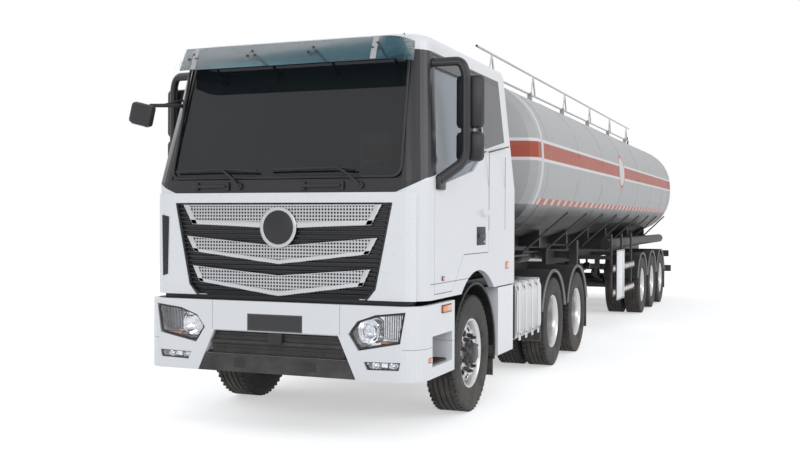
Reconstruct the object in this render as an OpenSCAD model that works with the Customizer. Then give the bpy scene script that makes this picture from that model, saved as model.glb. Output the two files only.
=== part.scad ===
// Tanker truck: a flat-roofed cab-over 6x4 tractor with a three-axle oval tank semi-trailer.
// Frame: the front points to -Y, the left side to +X, and +Z is up. The origin is the point on
// the ground under the middle of the whole vehicle. "Station" is a distance behind the bumper.

/* [Overall] */
// Length over the two bumpers
overall_length = 16600; // [15600:50:18000]
// Width over the cab sides and the bumpers
body_width = 2490; // [2400:10:2560]

/* [Wheels] */
// Outside radius of every tyre
tyre_r = 522; // [480:2:540]
// Width of one tyre
tyre_width = 292; // [250:2:300]
// Distance between the middles of two twinned tyres
twin_spacing = 336; // [325:1:360]
// Middle of a twinned pair, from the vehicle's centre line
twin_centre = 915; // [880:5:930]
// Middle of a steered tyre, from the vehicle's centre line
steer_centre = 1055; // [1020:5:1065]
// Station of the front axle
front_axle_at = 1500; // [1450:10:1520]
// Station of the first drive axle
drive_axle_at = 4600; // [4550:10:5000]
// Distance between the two drive axles
drive_spacing = 1350; // [1300:5:1450]
// Distance between two trailer axles
trailer_spacing = 1310; // [1300:5:1500]
// Last trailer axle, measured forward from the rear end
trailer_rear_overhang = 2050; // [1700:10:2400]

/* [Cab] */
// Height of the flat roof
roof_z = 3230; // [3150:10:3350]
// Station of the back of the cab
cab_back_at = 2750; // [2600:10:2800]
// Height of the lower edge of the cab panels
cab_base_z = 1085; // [1080:1:1100]
// Thickness of the cab's walls and doors
cab_wall = 55; // [40:1:70]
// Height of the top of the white front panel
panel_top_z = 1930; // [1880:5:1960]
// Height of the top of the front bumper
bumper_top_z = 1050; // [980:5:1060]
// Height of the bottom of the front bumper
bumper_bottom_z = 470; // [430:5:500]

/* [Chassis] */
// Height of the top of the tractor's side rails
rail_top_z = 1010; // [980:5:1040]
// Height of one side rail
rail_height = 260; // [220:5:280]
// Outside width over the two side rails
rail_width = 860; // [800:5:900]
// Station of the rear end of the tractor frame
tractor_end_at = 6750; // [6700:10:6900]
// Station of the kingpin
kingpin_at = 5150; // [5100:10:5400]
// Height of the face between the fifth wheel and the trailer
coupling_z = 1250; // [1230:5:1300]

/* [Tank] */
// Width of the oval tank
tank_width = 2420; // [2300:10:2480]
// Height of the oval tank
tank_height = 1960; // [1800:10:2050]
// Height of the lowest line of the tank
tank_base_z = 1430; // [1400:10:1500]
// Station of the front of the tank
tank_front_at = 3640; // [3600:10:3800]
// Gap between the back of the tank and the rear end of the vehicle
tank_rear_gap = 90; // [60:10:200]
// Thickness of the tank's shell
tank_wall = 8; // [5:1:12]

/* [Openings] */
// Gap around a door
door_gap = 6; // [5:1:9]
// Radius of a manhole lid
lid_r = 250; // [200:5:280]

/* [Hidden] */

half_width = body_width / 2;
seat_gap = 0.3;              // gap that parts a piece from the one that carries it
axle_z = tyre_r;
rim_r = 286;                 // bead seat radius of a 22.5 inch rim
flange_r = 300;
rim_width = 230;
rim_step = 16;               // width of a rim flange and its bead shoulder
rail_half = rail_width / 2;
rail_t = 10;
rail_base_z = rail_top_z - rail_height;
drive_stations = [drive_axle_at, drive_axle_at + drive_spacing];
drive_mid_at = drive_axle_at + drive_spacing / 2;
last_axle_at = overall_length - trailer_rear_overhang;
trailer_stations = [for (i = [2, 1, 0]) last_axle_at - i * trailer_spacing];
tank_back_at = overall_length - tank_rear_gap;
tank_mid_z = tank_base_z + tank_height / 2;
tank_top_z = tank_base_z + tank_height;

// Y of a station
function at(station) = station - overall_length / 2;

// A box from two opposite corners, with its Y values given as stations
module block(x0, x1, s0, s1, z0, z1) {
    translate([min(x0, x1), at(s0), z0]) cube([abs(x1 - x0), s1 - s0, z1 - z0]);
}

// The same box on both sides
module blocks(x0, x1, s0, s1, z0, z1) {
    block(x0, x1, s0, s1, z0, z1);
    block(-x1, -x0, s0, s1, z0, z1);
}

// A crosswise cylinder from x0 to x1
module axle_rod(x0, x1, station, z, r) {
    translate([x0, at(station), z]) rotate([0, 90, 0]) cylinder(r = r, h = x1 - x0, $fn = 64);
}

// A lengthwise cylinder
module long_rod(x, s0, s1, z, r) {
    translate([x, at(s0), z]) rotate([-90, 0, 0]) cylinder(r = r, h = s1 - s0, $fn = 48);
}

// A round bar between two points
module bar(p, q, r) {
    d = q - p;
    length = norm(d);
    translate(p) rotate([0, acos(d.z / length), atan2(d.y, d.x)]) cylinder(r = r, h = length, $fn = 24);
}

// A round bar that runs through several points, with a ball at each bend
module bent_bar(points, r) {
    for (i = [1 : len(points) - 1]) bar(points[i - 1], points[i], r);
    for (i = [1 : len(points) - 2]) translate(points[i]) sphere(r = r + 2, $fn = 32);
}

// A side-view outline in [station, z], made into a plate from x0 to x1
module side_plate(x0, x1, outline) {
    translate([x0, at(0), 0]) rotate([90, 0, 90]) linear_extrude(x1 - x0) polygon(outline);
}

// Everything given is drawn again, mirrored to the right side
module both_sides() {
    children();
    mirror([1, 0, 0]) children();
}

// ---------- wheels, drawn about the axle line with the outside towards +X ----------

// Half outline of a tyre, with rounded shoulders
module tyre_section(width) {
    w = width / 2;
    bead = rim_width / 2 - rim_step - seat_gap;
    polygon(concat(
        [[rim_r, -bead], [flange_r + 2, -bead], [rim_r + 80, -w]],
        [[tyre_r - 70, -w], [tyre_r - 26, -w + 10], [tyre_r - 6, -w + 32], [tyre_r, -w + 60]],
        [[tyre_r, w - 60], [tyre_r - 6, w - 32], [tyre_r - 26, w - 10], [tyre_r - 70, w]],
        [[rim_r + 80, w], [flange_r + 2, bead], [rim_r, bead]]));
}

module tyre(width) {
    rotate([0, 90, 0]) rotate_extrude($fn = 96) tyre_section(width);
}

// The barrel of a rim, with its two flanges
module barrel(width) {
    w = width / 2;
    rotate([0, 90, 0]) rotate_extrude($fn = 96) polygon([
        [rim_r - 14, -w], [flange_r, -w], [flange_r, -w + 8], [rim_r - seat_gap, -w + rim_step],
        [rim_r - seat_gap, w - rim_step], [flange_r, w - 8], [flange_r, w], [rim_r - 14, w]]);
}

// A disc with round hand holes between x0 and x1
module wheel_disc(x0, x1, holes) {
    difference() {
        axle_disc(x0, x1, rim_r - 13);
        for (i = [0 : holes - 1])
            rotate([i * 360 / holes, 0, 0]) translate([x0 - 1, 0, 205])
                rotate([0, 90, 0]) cylinder(r = 30, h = x1 - x0 + 2, $fn = 32);
    }
}

module axle_disc(x0, x1, r) {
    translate([x0, 0, 0]) rotate([0, 90, 0]) cylinder(r = r, h = x1 - x0, $fn = 64);
}

spindle_r = 45;
hub_reach = 120;             // how far a spindle goes into its hub
drum_r = 205;
drum_width = 190;
steer_disc_x = 95;           // face of the steered wheel's disc, from the tyre's middle

module steered_rim() {
    difference() {
        union() {
            barrel(rim_width);
            wheel_disc(steer_disc_x - 14, steer_disc_x, 10);
            axle_disc(-rim_width / 2, steer_disc_x - 14, drum_r);
            axle_disc(steer_disc_x, steer_disc_x + 55, 110);
            axle_disc(steer_disc_x + 55, steer_disc_x + 85, 72);
        }
        axle_disc(-rim_width / 2 - 1, hub_reach - rim_width / 2, spindle_r + seat_gap);
    }
}

// Twin wheels share one hub; x = 0 lies midway between the two tyres
module twin_rim() {
    half = twin_spacing / 2;
    difference() {
        union() {
            for (side = [-1, 1]) translate([side * half, 0, 0]) barrel(rim_width);
            wheel_disc(-14, 14, 8);
            axle_disc(14, 60, 165);
            axle_disc(60, half + 60, 115);
            axle_disc(-half - rim_width / 2, -14, drum_r);
            for (side = [-1, 1]) barrel_web(side * half);
        }
        axle_disc(-half - rim_width / 2 - 1, hub_reach - half - rim_width / 2, spindle_r + seat_gap);
    }
}

// The ring that ties a twinned barrel to the disc in the middle
module barrel_web(x) {
    inner = sign(x) * 10;
    outer = x - sign(x) * (rim_width / 2 - 6);
    difference() {
        axle_disc(min(inner, outer), max(inner, outer), rim_r - 2);
        axle_disc(min(inner, outer) - 1, max(inner, outer) + 1, rim_r - 14);
    }
}

module twin_tyres() {
    for (side = [-1, 1]) translate([side * twin_spacing / 2, 0, 0]) tyre(tyre_width);
}

// Puts a wheel at its station on one side: side = 1 is left, -1 is right
module wheel_at(x, station, side) {
    translate([side * x, at(station), axle_z]) rotate([0, 0, side > 0 ? 0 : 180]) children();
}

module front_rim_left() { color("silver") wheel_at(steer_centre, front_axle_at, 1) steered_rim(); }
module front_rim_right() { color("silver") wheel_at(steer_centre, front_axle_at, -1) steered_rim(); }
module front_tyre_left() { color("black") wheel_at(steer_centre, front_axle_at, 1) tyre(tyre_width); }
module front_tyre_right() { color("black") wheel_at(steer_centre, front_axle_at, -1) tyre(tyre_width); }

// Two tyres on their rims, as three solids
module twin_wheels(station, side) {
    wheel_at(twin_centre, station, side) {
        color("silver") twin_rim();
        color("black") twin_tyres();
    }
}

// ---------- tractor ----------

axle_inner_x = twin_centre - twin_spacing / 2 - rim_width / 2;   // inner face of a twin hub
steer_inner_x = steer_centre - rim_width / 2;                     // inner face of a steered hub
kingpin_x = 870;
fork_half = 95;              // half height of a knuckle between the axle's jaws

module chassis_frame() {
    color("dimgray") {
        both_sides() {
            block(rail_half - rail_t, rail_half, 330, tractor_end_at, rail_base_z, rail_top_z);
            block(rail_half - 80, rail_half, 330, tractor_end_at, rail_base_z, rail_base_z + rail_t);
            block(rail_half - 80, rail_half, 330, tractor_end_at, rail_top_z - rail_t, rail_top_z);
            cab_bracket();
            cab_rest();
        }
        for (station = [330, 2600, 3600, 4050, drive_mid_at - 40, tractor_end_at - 80])
            block(-rail_half + rail_t, rail_half - rail_t, station, station + 80,
                rail_base_z + 30, rail_top_z - 30);
        rear_beam();
    }
}

// Front bracket that holds the pin the cab tilts on
tilt_at = 215;
tilt_z = 1150;
tilt_pin_r = 22;
bracket_x = rail_half - 40;
module cab_bracket() {
    difference() {
        side_plate(bracket_x - 20, bracket_x + 20, [
            [tilt_at - 35, tilt_z - 60], [tilt_at - 35, tilt_z + 35], [tilt_at + 35, tilt_z + 35],
            [420, rail_top_z], [420, rail_base_z + 60], [tilt_at + 20, rail_base_z + 60]]);
        axle_rod(bracket_x - 21, bracket_x + 21, tilt_at, tilt_z, tilt_pin_r + seat_gap);
    }
}

// Rear rest under the cab floor
floor_z = 1490;
module cab_rest() {
    block(rail_half - 60, rail_half, cab_back_at - 190, cab_back_at - 90,
        rail_top_z, floor_z - seat_gap);
    block(rail_half - 100, rail_half + 40, cab_back_at - 210, cab_back_at - 70,
        floor_z - 40, floor_z - seat_gap);
}

// Cross beam at the tail of the tractor that carries its lamps
module rear_beam() {
    block(-1100, 1100, tractor_end_at, tractor_end_at + 40, rail_base_z - 40, rail_base_z + 120);
    both_sides()
        block(820, 1080, tractor_end_at + 40, tractor_end_at + 75, rail_base_z - 25, rail_base_z + 105);
}

// Engine as one block, with the radiator in front of it
module engine_block() {
    color("gray") {
        block(-rail_half + 100, rail_half - 100, 900, 2150, 640, 1420);
        block(-rail_half + 90, rail_half - 90, 470, 600, 620, 1400);
        block(-60, 60, 600, 900, 980, 1060);
        block(-rail_half + rail_t, rail_half - rail_t, 1400, 1480, rail_base_z + 20, rail_base_z + 90);
        block(-rail_half + rail_t, rail_half - rail_t, 500, 560, rail_base_z + 20, rail_base_z + 90);
        block(-180, 180, 2150, 2400, 620, 1100);
    }
}

module front_axle() {
    color("dimgray") {
        block(-560, 560, front_axle_at - 45, front_axle_at + 45, axle_z - 130, axle_z - 30);
        both_sides() {
            side_arm();
            difference() {
                axle_eye();
                translate([kingpin_x, at(front_axle_at), axle_z - fork_half])
                    cylinder(r = 24, h = 2 * fork_half, $fn = 48);
            }
        }
        axle_rod(-560, 560, front_axle_at + 130, axle_z - 60, 22);
        blocks(300, 340, front_axle_at + 40, front_axle_at + 140, axle_z - 110, axle_z - 40);
    }
}

// The rising end of the axle beam
module side_arm() {
    hull() {
        block(540, 560, front_axle_at - 45, front_axle_at + 45, axle_z - 130, axle_z - 30);
        block(kingpin_x - 50, kingpin_x - 40, front_axle_at - 45, front_axle_at + 45, axle_z - 60, axle_z + 60);
    }
}

// The boss at the end of the beam that the knuckle turns in
module axle_eye() {
    translate([kingpin_x, at(front_axle_at), axle_z - 62]) cylinder(r = 52, h = 124, $fn = 48);
}

module knuckle_left() {
    color("gray") steering_knuckle();
}

module knuckle_right() {
    color("gray") mirror([1, 0, 0]) steering_knuckle();
}

// Two jaws around the axle's eye, the pin through it and the spindle for the wheel
jaw_h = 34;
module steering_knuckle() {
    jaw_gap = 62 + seat_gap;
    translate([kingpin_x, at(front_axle_at), axle_z - jaw_gap - jaw_h])
        cylinder(r = 24 - seat_gap, h = 2 * (jaw_gap + jaw_h), $fn = 48);
    for (z = [axle_z - jaw_gap - jaw_h, axle_z + jaw_gap]) {
        translate([kingpin_x, at(front_axle_at), z]) cylinder(r = 46, h = jaw_h, $fn = 48);
        block(kingpin_x, steer_inner_x - 8, front_axle_at - 40, front_axle_at + 40, z, z + jaw_h);
    }
    block(steer_inner_x - 9, steer_inner_x - 1, front_axle_at - 70, front_axle_at + 70,
        axle_z - jaw_gap - jaw_h, axle_z + jaw_gap + jaw_h);
    axle_rod(steer_inner_x - 9, steer_inner_x + hub_reach - 10, front_axle_at, axle_z, spindle_r);
}

// A live axle: a tube with a round gear case in the middle and a spindle at each end
module live_axle(station, case_r) {
    end = axle_inner_x + hub_reach - 10;
    axle_rod(-axle_inner_x + 2, axle_inner_x - 2, station, axle_z, 70);
    axle_rod(-end, end, station, axle_z, spindle_r);
    translate([0, at(station), axle_z]) sphere(r = case_r, $fn = 64);
}

module drive_axles() {
    color("dimgray") {
        for (station = drive_stations) live_axle(station, 210);
        long_rod(0, drive_stations[0] + 200, drive_stations[1] - 200, axle_z + 60, 50);
        long_rod(0, 2400, drive_stations[0] - 140, axle_z + 150, 50);
    }
}

// One leaf spring pack, with a hanger at each end, between an axle and a side rail
module leaf_spring(station, x, half_length, top_z) {
    leaf = 16;
    for (i = [0 : 3])
        block(x - 40, x + 40, station - half_length + i * 110, station + half_length - i * 110,
            top_z - (i + 1) * leaf, top_z - i * leaf);
}

module springs() {
    color("black") both_sides() {
        x = rail_half - 40;
        leaf_spring(front_axle_at, x, 720, rail_base_z - 70);
        for (end = [-690, 650])
            block(x - 40, x + 40, front_axle_at + end, front_axle_at + end + 40,
                rail_base_z - 70, rail_base_z);
        block(x - 45, x + 45, front_axle_at - 60, front_axle_at + 60, axle_z - 30, rail_base_z - 134);
        leaf_spring(drive_mid_at, x, drive_spacing / 2 - 10, rail_base_z - 20);
        block(x - 40, x + 40, drive_mid_at - 90, drive_mid_at + 90, rail_base_z - 20, rail_base_z);
        for (station = drive_stations)
            block(x - 40, x + 40, station - 60, station + 60, axle_z + 70 + seat_gap, rail_base_z - 36);
    }
}

// The plate that the trailer turns on, with its slot for the kingpin
plate_t = 45;
plate_r = 470;
kingpin_r = 25;
module fifth_wheel() {
    color("dimgray") {
        difference() {
            translate([0, at(kingpin_at), coupling_z - plate_t]) cylinder(r = plate_r, h = plate_t, $fn = 96);
            translate([0, at(kingpin_at), coupling_z - plate_t - 1])
                cylinder(r = kingpin_r + seat_gap, h = plate_t + 2, $fn = 64);
            block(-kingpin_r - seat_gap, kingpin_r + seat_gap, kingpin_at, kingpin_at + plate_r + 40,
                coupling_z - plate_t - 1, coupling_z + 1);
            side_slope();
        }
        both_sides()
            block(300, 360, kingpin_at - 130, kingpin_at + 130, rail_top_z, coupling_z - plate_t);
        block(-520, 520, kingpin_at - 300, kingpin_at + 300, rail_top_z, rail_top_z + 12);
    }
}

// The bevelled rear corners beside the slot
module side_slope() {
    both_sides() translate([60, at(kingpin_at + 300), coupling_z - plate_t - 1])
        linear_extrude(plate_t + 2) polygon([[0, 250], [0, 120], [300, 0], [500, 0], [500, 250]]);
}

// ---------- front bumper ----------

corner_r = 190;              // plan radius of the cab's and bumper's front corners
bumper_back_at = 830;        // rear end of the bumper's side wing, ahead of the steered tyre

// Plan outline of the front end: straight face, two round corners, straight sides
module front_plan(half, front, back, r) {
    hull() {
        for (side = [-1, 1])
            translate([side * (half - r), at(front + r)]) circle(r = r, $fn = 32);
        translate([-half, at(back) - 1]) square([2 * half, 1]);
    }
}

module bumper_ring(z0, z1, grow) {
    translate([0, 0, z0]) linear_extrude(z1 - z0) difference() {
        front_plan(half_width - grow, grow, bumper_back_at, corner_r);
        front_plan(half_width - grow - bumper_t, grow + bumper_t, bumper_back_at + 50, corner_r - bumper_t);
    }
}

// The air intake in the middle, wider towards its open bottom
bumper_t = 40;
intake_top = [half_width - 685, bumper_bottom_z + 340];
intake_low = [half_width - 525, bumper_bottom_z - 10];
module intake_opening(shrink) {
    translate([0, at(200), 0]) rotate([90, 0, 0]) linear_extrude(250) offset(delta = -shrink) polygon([
        [-intake_top[0], intake_top[1]], [intake_top[0], intake_top[1]],
        [intake_low[0], intake_low[1]], [-intake_low[0], intake_low[1]]]);
}

// Step well in each side of the bumper, grown for the outside of its liner
module step_well(grow) {
    block(half_width - 230 - grow, half_width + 10, 290 - grow, bumper_back_at - 60 + grow,
        bumper_bottom_z + 90 - grow, bumper_top_z - 250 + grow);
}

module front_bumper() {
    color("white") {
        difference() {
            union() {
                bumper_ring(bumper_bottom_z, bumper_top_z, 0);
                both_sides() difference() {
                    step_well(15);
                    block(half_width - 20, half_width + 20, 200, bumper_back_at, 0, bumper_top_z);
                }
            }
            both_sides() step_well(0);
            intake_opening(0);
            lamp_opening(0);
            fog_opening(0);
        }
        both_sides()
            block(rail_half, rail_half + 50, bumper_t - 2, 420, rail_base_z + 90, rail_base_z + 190);
    }
}

// Dark back of the air intake, with the lip below it, one slat and the cover of the towing eye
module bumper_valance() {
    color("dimgray") {
        block(-intake_top[0] - 40, intake_top[0] + 40, bumper_t + seat_gap, bumper_t + 40,
            bumper_bottom_z + 20, intake_top[1] + 30);
        intersection() {
            intake_opening(3);
            union() {
                block(-half_width, half_width, 5, bumper_t + 2, bumper_bottom_z, bumper_bottom_z + 145);
                block(-half_width, half_width, 22, bumper_t + 2, bumper_bottom_z + 232, bumper_bottom_z + 256);
                block(-62, 62, 10, bumper_t + 2, bumper_bottom_z + 240, intake_top[1]);
            }
        }
    }
}

// A lamp opening is a slanted outline seen from the front
module lamp_opening(shrink) {
    both_sides() translate([half_width, at(250), bumper_bottom_z]) rotate([90, 0, 0])
        linear_extrude(300) offset(delta = -shrink) polygon([
            [-510, 227], [-595, 355], [-520, 455], [-365, 510], [-120, 538], [-160, 295]]);
}

module fog_opening(shrink) {
    both_sides() translate([half_width, at(250), bumper_bottom_z]) rotate([90, 0, 0])
        linear_extrude(300) offset(delta = -shrink) polygon([
            [-435, 83], [-463, 145], [-158, 152], [-171, 90]]);
}

module headlights() {
    color("gainsboro") {
        intersection() {
            bumper_ring(bumper_bottom_z + 60, bumper_top_z, 8);
            union() {
                lamp_opening(seat_gap);
                fog_opening(seat_gap);
            }
        }
    }
}

// ---------- things beside the tractor frame ----------

guard_at = [2160, 2700];     // mudguard behind the steered wheel
guard_top_z = cab_base_z - 15;
module side_steps() {
    color("white") both_sides() {
        block(half_width - 60, half_width - 8, guard_at[0], guard_at[1], 420, guard_top_z);
        block(half_width - 420, half_width - 8, guard_at[0], guard_at[0] + 40, 560, guard_top_z);
        block(rail_half, half_width - 60, guard_at[0] + 200, guard_at[0] + 260, 880, 940);
    }
}

fuel_x = [580, half_width - 10];
fuel_at = [2860, 3900];
fuel_z = [470, 1080];
module fuel_tank() {
    color("silver") {
        translate([(fuel_x[0] + fuel_x[1]) / 2, at(fuel_at[0]), (fuel_z[0] + fuel_z[1]) / 2])
            rotate([-90, 0, 0]) linear_extrude(fuel_at[1] - fuel_at[0])
                rounded_square(fuel_x[1] - fuel_x[0], fuel_z[1] - fuel_z[0], 110);
        for (station = [fuel_at[0] + 150, fuel_at[1] - 230])
            block(rail_half, fuel_x[0], station, station + 80, rail_base_z + 20, rail_base_z + 200);
    }
}

module rounded_square(w, h, r) {
    hull() for (x = [-1, 1], y = [-1, 1])
        translate([x * (w / 2 - r), y * (h / 2 - r)]) circle(r = r, $fn = 32);
}

module battery_box() {
    color("dimgray") {
        block(-fuel_x[1], -fuel_x[0], fuel_at[0], fuel_at[0] + 640, 520, 1060);
        for (z = [620, 900]) long_rod(-fuel_x[1] + 150, fuel_at[0] + 700, fuel_at[1], z, 125);
        block(-fuel_x[0], -rail_half, fuel_at[0] + 200, fuel_at[0] + 280, rail_base_z + 20, rail_base_z + 200);
        block(-fuel_x[1] + 270, -rail_half, fuel_at[0] + 900, fuel_at[0] + 960, rail_base_z, rail_base_z + 60);
        block(-fuel_x[1] + 170, -fuel_x[1] + 272, fuel_at[0] + 900, fuel_at[0] + 960, 590, 960);
        block(-fuel_x[0] - 170, -fuel_x[0] - 30, fuel_at[0] + 639, fuel_at[0] + 701, 620, 700);
    }
}

// An arched fender over one twinned wheel
fender_r = tyre_r + 75;
fender_t = 14;
module fender(station, z, r, width) {
    translate([twin_centre - width / 2, at(station), z]) rotate([90, 0, 90]) linear_extrude(width)
        difference() {
            circle(r = r + fender_t, $fn = 96);
            circle(r = r, $fn = 96);
            translate([-2 * r, -4 * r]) square([4 * r, 4 * r + 150]);
        }
}

module drive_fenders() {
    color("black") both_sides() {
        for (station = drive_stations) {
            fender(station, axle_z, fender_r, 650);
            block(rail_half, twin_centre - 330, station - 30, station + 30,
                rail_top_z - 90, rail_top_z - 30);
            block(twin_centre - 350, twin_centre - 320, station - 30, station + 30,
                rail_top_z - 90, axle_z + fender_r + 8);
        }
    }
}

// ---------- cab ----------

// A closed solid through several rings of points, each ring with the same count
module loft(rings) {
    n = len(rings[0]);
    last = (len(rings) - 1) * n;
    polyhedron(
        points = [for (ring = rings) each ring],
        faces = concat(
            [[for (i = [n - 1 : -1 : 0]) i]],
            [[for (i = [0 : n - 1]) last + i]],
            [for (k = [0 : len(rings) - 2], i = [0 : n - 1])
                let (j = (i + 1) % n, a = k * n, b = a + n)
                    each [[a + i, a + j, b + j], [a + i, b + j, b + i]]]));
}

// Points of an arc in plan, about a centre, at one height
function arc(x, station, z, r, from, to, steps) = [
    for (i = [0 : steps])
        let (angle = from + (to - from) * i / steps)
            [x + r * cos(angle), at(station) + r * sin(angle), z]];

// A plan ring of the cab: round front corners and small rear corners
function cab_ring(half, front, back, r, z) = concat(
    arc(-half + r, front + r, z, r, 270, 180, 8),
    arc(-half + 40, back - 40, z, 40, 180, 90, 3),
    arc(half - 40, back - 40, z, 40, 90, 0, 3),
    arc(half - r, front + r, z, r, 0, -90, 8));

// Outer body of the cab, taken in by "inset" on every side
roof_half = half_width - 125;
belt_z = 2020;               // above this height the cab tapers
face_at = 100;               // station of the front face
roof_front_at = 400;
module cab_body(inset) {
    r = corner_r - inset / 2;
    base = cab_base_z - (inset > 0 ? 60 : 0);
    loft([
        cab_ring(half_width - inset, face_at + inset, cab_back_at - inset, r, base),
        cab_ring(half_width - inset, face_at + inset, cab_back_at - inset, r, belt_z),
        cab_ring(roof_half - inset, roof_front_at + inset, cab_back_at - inset, r, roof_z - 70 - inset),
        cab_ring(roof_half - 20 - inset, roof_front_at + 25 + inset, cab_back_at - 20 - inset, r, roof_z - 25 - inset),
        cab_ring(roof_half - 75 - inset, roof_front_at + 85 + inset, cab_back_at - 75 - inset, r, roof_z - inset)]);
}

// Side outline of a door in [station, z]; the arch over the wheel bounds it below
door_at = [330, 1800];
door_top_z = roof_z - 170;
sill_z = 1130;
arch_r = 745;
flare_r = 890;
flare_top_z = axle_z + flare_r;
door_outline = [
    [door_at[0], sill_z], [760, sill_z], [930, flare_top_z - 120], [1080, flare_top_z + 10],
    [door_at[1], flare_top_z + 10], [door_at[1], door_top_z], [door_at[0] + 240, door_top_z],
    [door_at[0], belt_z]];

// The doors are cut from the side walls only, so the floor runs across between them
door_zone_x = roof_half - 60;
module door_zone(grow) {
    translate([door_zone_x, at(0), 0]) rotate([90, 0, 90])
        linear_extrude(half_width + 10 - door_zone_x) offset(delta = grow) polygon(door_outline);
}

// Window aperture in a door
window_outline = [
    [door_at[0] + 50, belt_z - 40], [door_at[0] + 50, belt_z + 50], [door_at[0] + 270, door_top_z - 90],
    [door_at[1] - 60, door_top_z - 90], [door_at[1] - 60, belt_z + 300], [door_at[1] - 420, belt_z + 130]];
module window_zone(grow) {
    translate([0, at(0), 0]) rotate([90, 0, 90]) linear_extrude(half_width + 10)
        offset(delta = grow) polygon(window_outline);
}

// Wheel arch, cut through the lower body
module arch_zone(r) {
    axle_rod(-half_width - 20, half_width + 20, front_axle_at, axle_z, r);
}

screen_z = [belt_z + 20, roof_z - 150];
screen_half = half_width - 195;

module cab_shell() {
    color("white") {
        difference() {
            cab_body(0);
            difference() {
                cab_body(cab_wall);
                block(-1300, 1300, -100, 3000, floor_z, floor_z + 60);
            }
            both_sides() door_zone(door_gap);
            arch_zone(arch_r);
            windscreen_zone(screen_half, screen_z[0], screen_z[1]);
            rear_window();
            front_opening();
            block(-1000, 1000, cab_back_at - 300, cab_back_at + 10, cab_base_z - 100, floor_z);
        }
        both_sides() door_stop();
        both_sides() tilt_lug();
        axle_rod(-bracket_x - 60, bracket_x + 60, tilt_at, tilt_z, tilt_pin_r);
    }
}

// The flange behind a door's edge that its seal closes on
module door_stop() {
    intersection() {
        difference() {
            cab_body(cab_wall + seat_gap);
            cab_body(cab_wall + 16);
            door_zone(-25);
            arch_zone(arch_r);
        }
        door_zone(door_gap + 1);
    }
}

// Cut through the front wall for the windscreen
module windscreen_zone(half, z0, z1) {
    translate([0, at(1000), 0]) rotate([90, 0, 0]) linear_extrude(1100)
        polygon([[-half, z0], [half, z0], [half - 30, z1], [-half + 30, z1]]);
}

module rear_window() {
    block(-450, 450, cab_back_at - 200, cab_back_at + 50, 2250, 2650);
}

// Opening behind the front panel, where the radiator looks out
module front_opening() {
    block(-700, 700, face_at - 50, face_at + 130, cab_base_z - 100, 1400);
}

// The lug on the cab that its tilting pin passes through
module tilt_lug() {
    block(bracket_x + 22, bracket_x + 60, face_at + 30, tilt_at + 40, tilt_z - 40, tilt_z + 60);
    block(bracket_x + 22, 760, face_at + 30, face_at + 90, tilt_z - 30, tilt_z + 60);
}

module windshield() {
    color("darkslategray") intersection() {
        difference() {
            cab_body(8);
            cab_body(20);
        }
        windscreen_zone(screen_half - seat_gap, screen_z[0] + seat_gap, screen_z[1] - seat_gap);
    }
}

// Front panel, standing on the cab's front face with a wide opening for the grille
panel_t = 26;
grille_top = [half_width - 260, 1850];
grille_waist = [half_width - 400, 1165];
grille_low = [half_width - 480, cab_base_z - 20];
module front_panel() {
    color("white") difference() {
        linear_extrude_between(cab_base_z, panel_top_z) difference() {
            front_plan(half_width + panel_t, face_at - panel_t, 600, corner_r + panel_t);
            front_plan(half_width + seat_gap, face_at - seat_gap, 700, corner_r + seat_gap);
            translate([-half_width - 100, at(face_at + 10)]) square([2 * half_width + 200, 700]);
        }
        translate([0, at(300), 0]) rotate([90, 0, 0]) linear_extrude(500) polygon([
            [-grille_top[0], grille_top[1]], [grille_top[0], grille_top[1]], grille_waist, grille_low,
            [-grille_low[0], grille_low[1]], [-grille_waist[0], grille_waist[1]]]);
    }
}

module linear_extrude_between(z0, z1) {
    translate([0, 0, z0]) linear_extrude(z1 - z0) children();
}

// Three wide bars across the opening, each lower in the middle than at its ends
bars = [
    [[0, 1093], [745, 1195], [810, 1328], [0, 1262]],
    [[0, 1352], [795, 1444], [868, 1575], [0, 1500]],
    [[0, 1640], [815, 1672], [905, 1835], [0, 1835]]];
emblem_z = 1650;
emblem_r = 165;
module grille_bars() {
    color("silver") {
        for (bar_outline = bars) both_sides()
            translate([0, at(face_at - 6), 0]) rotate([90, 0, 0]) linear_extrude(34) polygon(bar_outline);
        blocks(620, 660, face_at - 7, face_at - seat_gap, 1200, grille_top[1] - 20);
        block(-20, 20, face_at - 7, face_at - seat_gap, 1110, grille_top[1] - 20);
        translate([0, at(face_at - 40), emblem_z]) rotate([90, 0, 0]) cylinder(r = emblem_r, h = 14, $fn = 64);
    }
}

module sun_visor() {
    color("lightslategray", 0.8) {
        difference() {
            for (x = [-900, -330, 330, 900])
                bar([x, at(140), roof_z - 110], [x, at(roof_front_at + 90), roof_z - 90], 12);
            cab_body(-seat_gap);
        }
        hull() {
            for (side = [-1, 1]) {
                translate([side * (roof_half - 10), at(60), roof_z - 280]) sphere(r = 10, $fn = 16);
                translate([side * (roof_half - 10), at(150), roof_z - 60]) sphere(r = 10, $fn = 16);
            }
        }
    }
}

module seats() {
    color("dimgray") both_sides() {
        block(310, 830, 1250, 1760, floor_z + 60, floor_z + 440);
        block(310, 830, 1680, 1820, floor_z + 440, floor_z + 1080);
    }
}

module dashboard() {
    color("dimgray") {
        block(-half_width + 185, half_width - 185, 330, 640, floor_z + 60, floor_z + 500);
        bar([560, at(630), floor_z + 420], [560, at(800), floor_z + 560], 25);
        translate([560, at(800), floor_z + 560]) rotate([50, 0, 0]) rotate_extrude($fn = 64)
            translate([215, 0]) circle(r = 15, $fn = 24);
        translate([560, at(800), floor_z + 560]) rotate([50, 0, 0])
            for (a = [90, 210, 330]) rotate([0, 0, a]) translate([0, -14, -10]) cube([216, 28, 20]);
    }
}

// ---------- doors ----------

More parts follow.
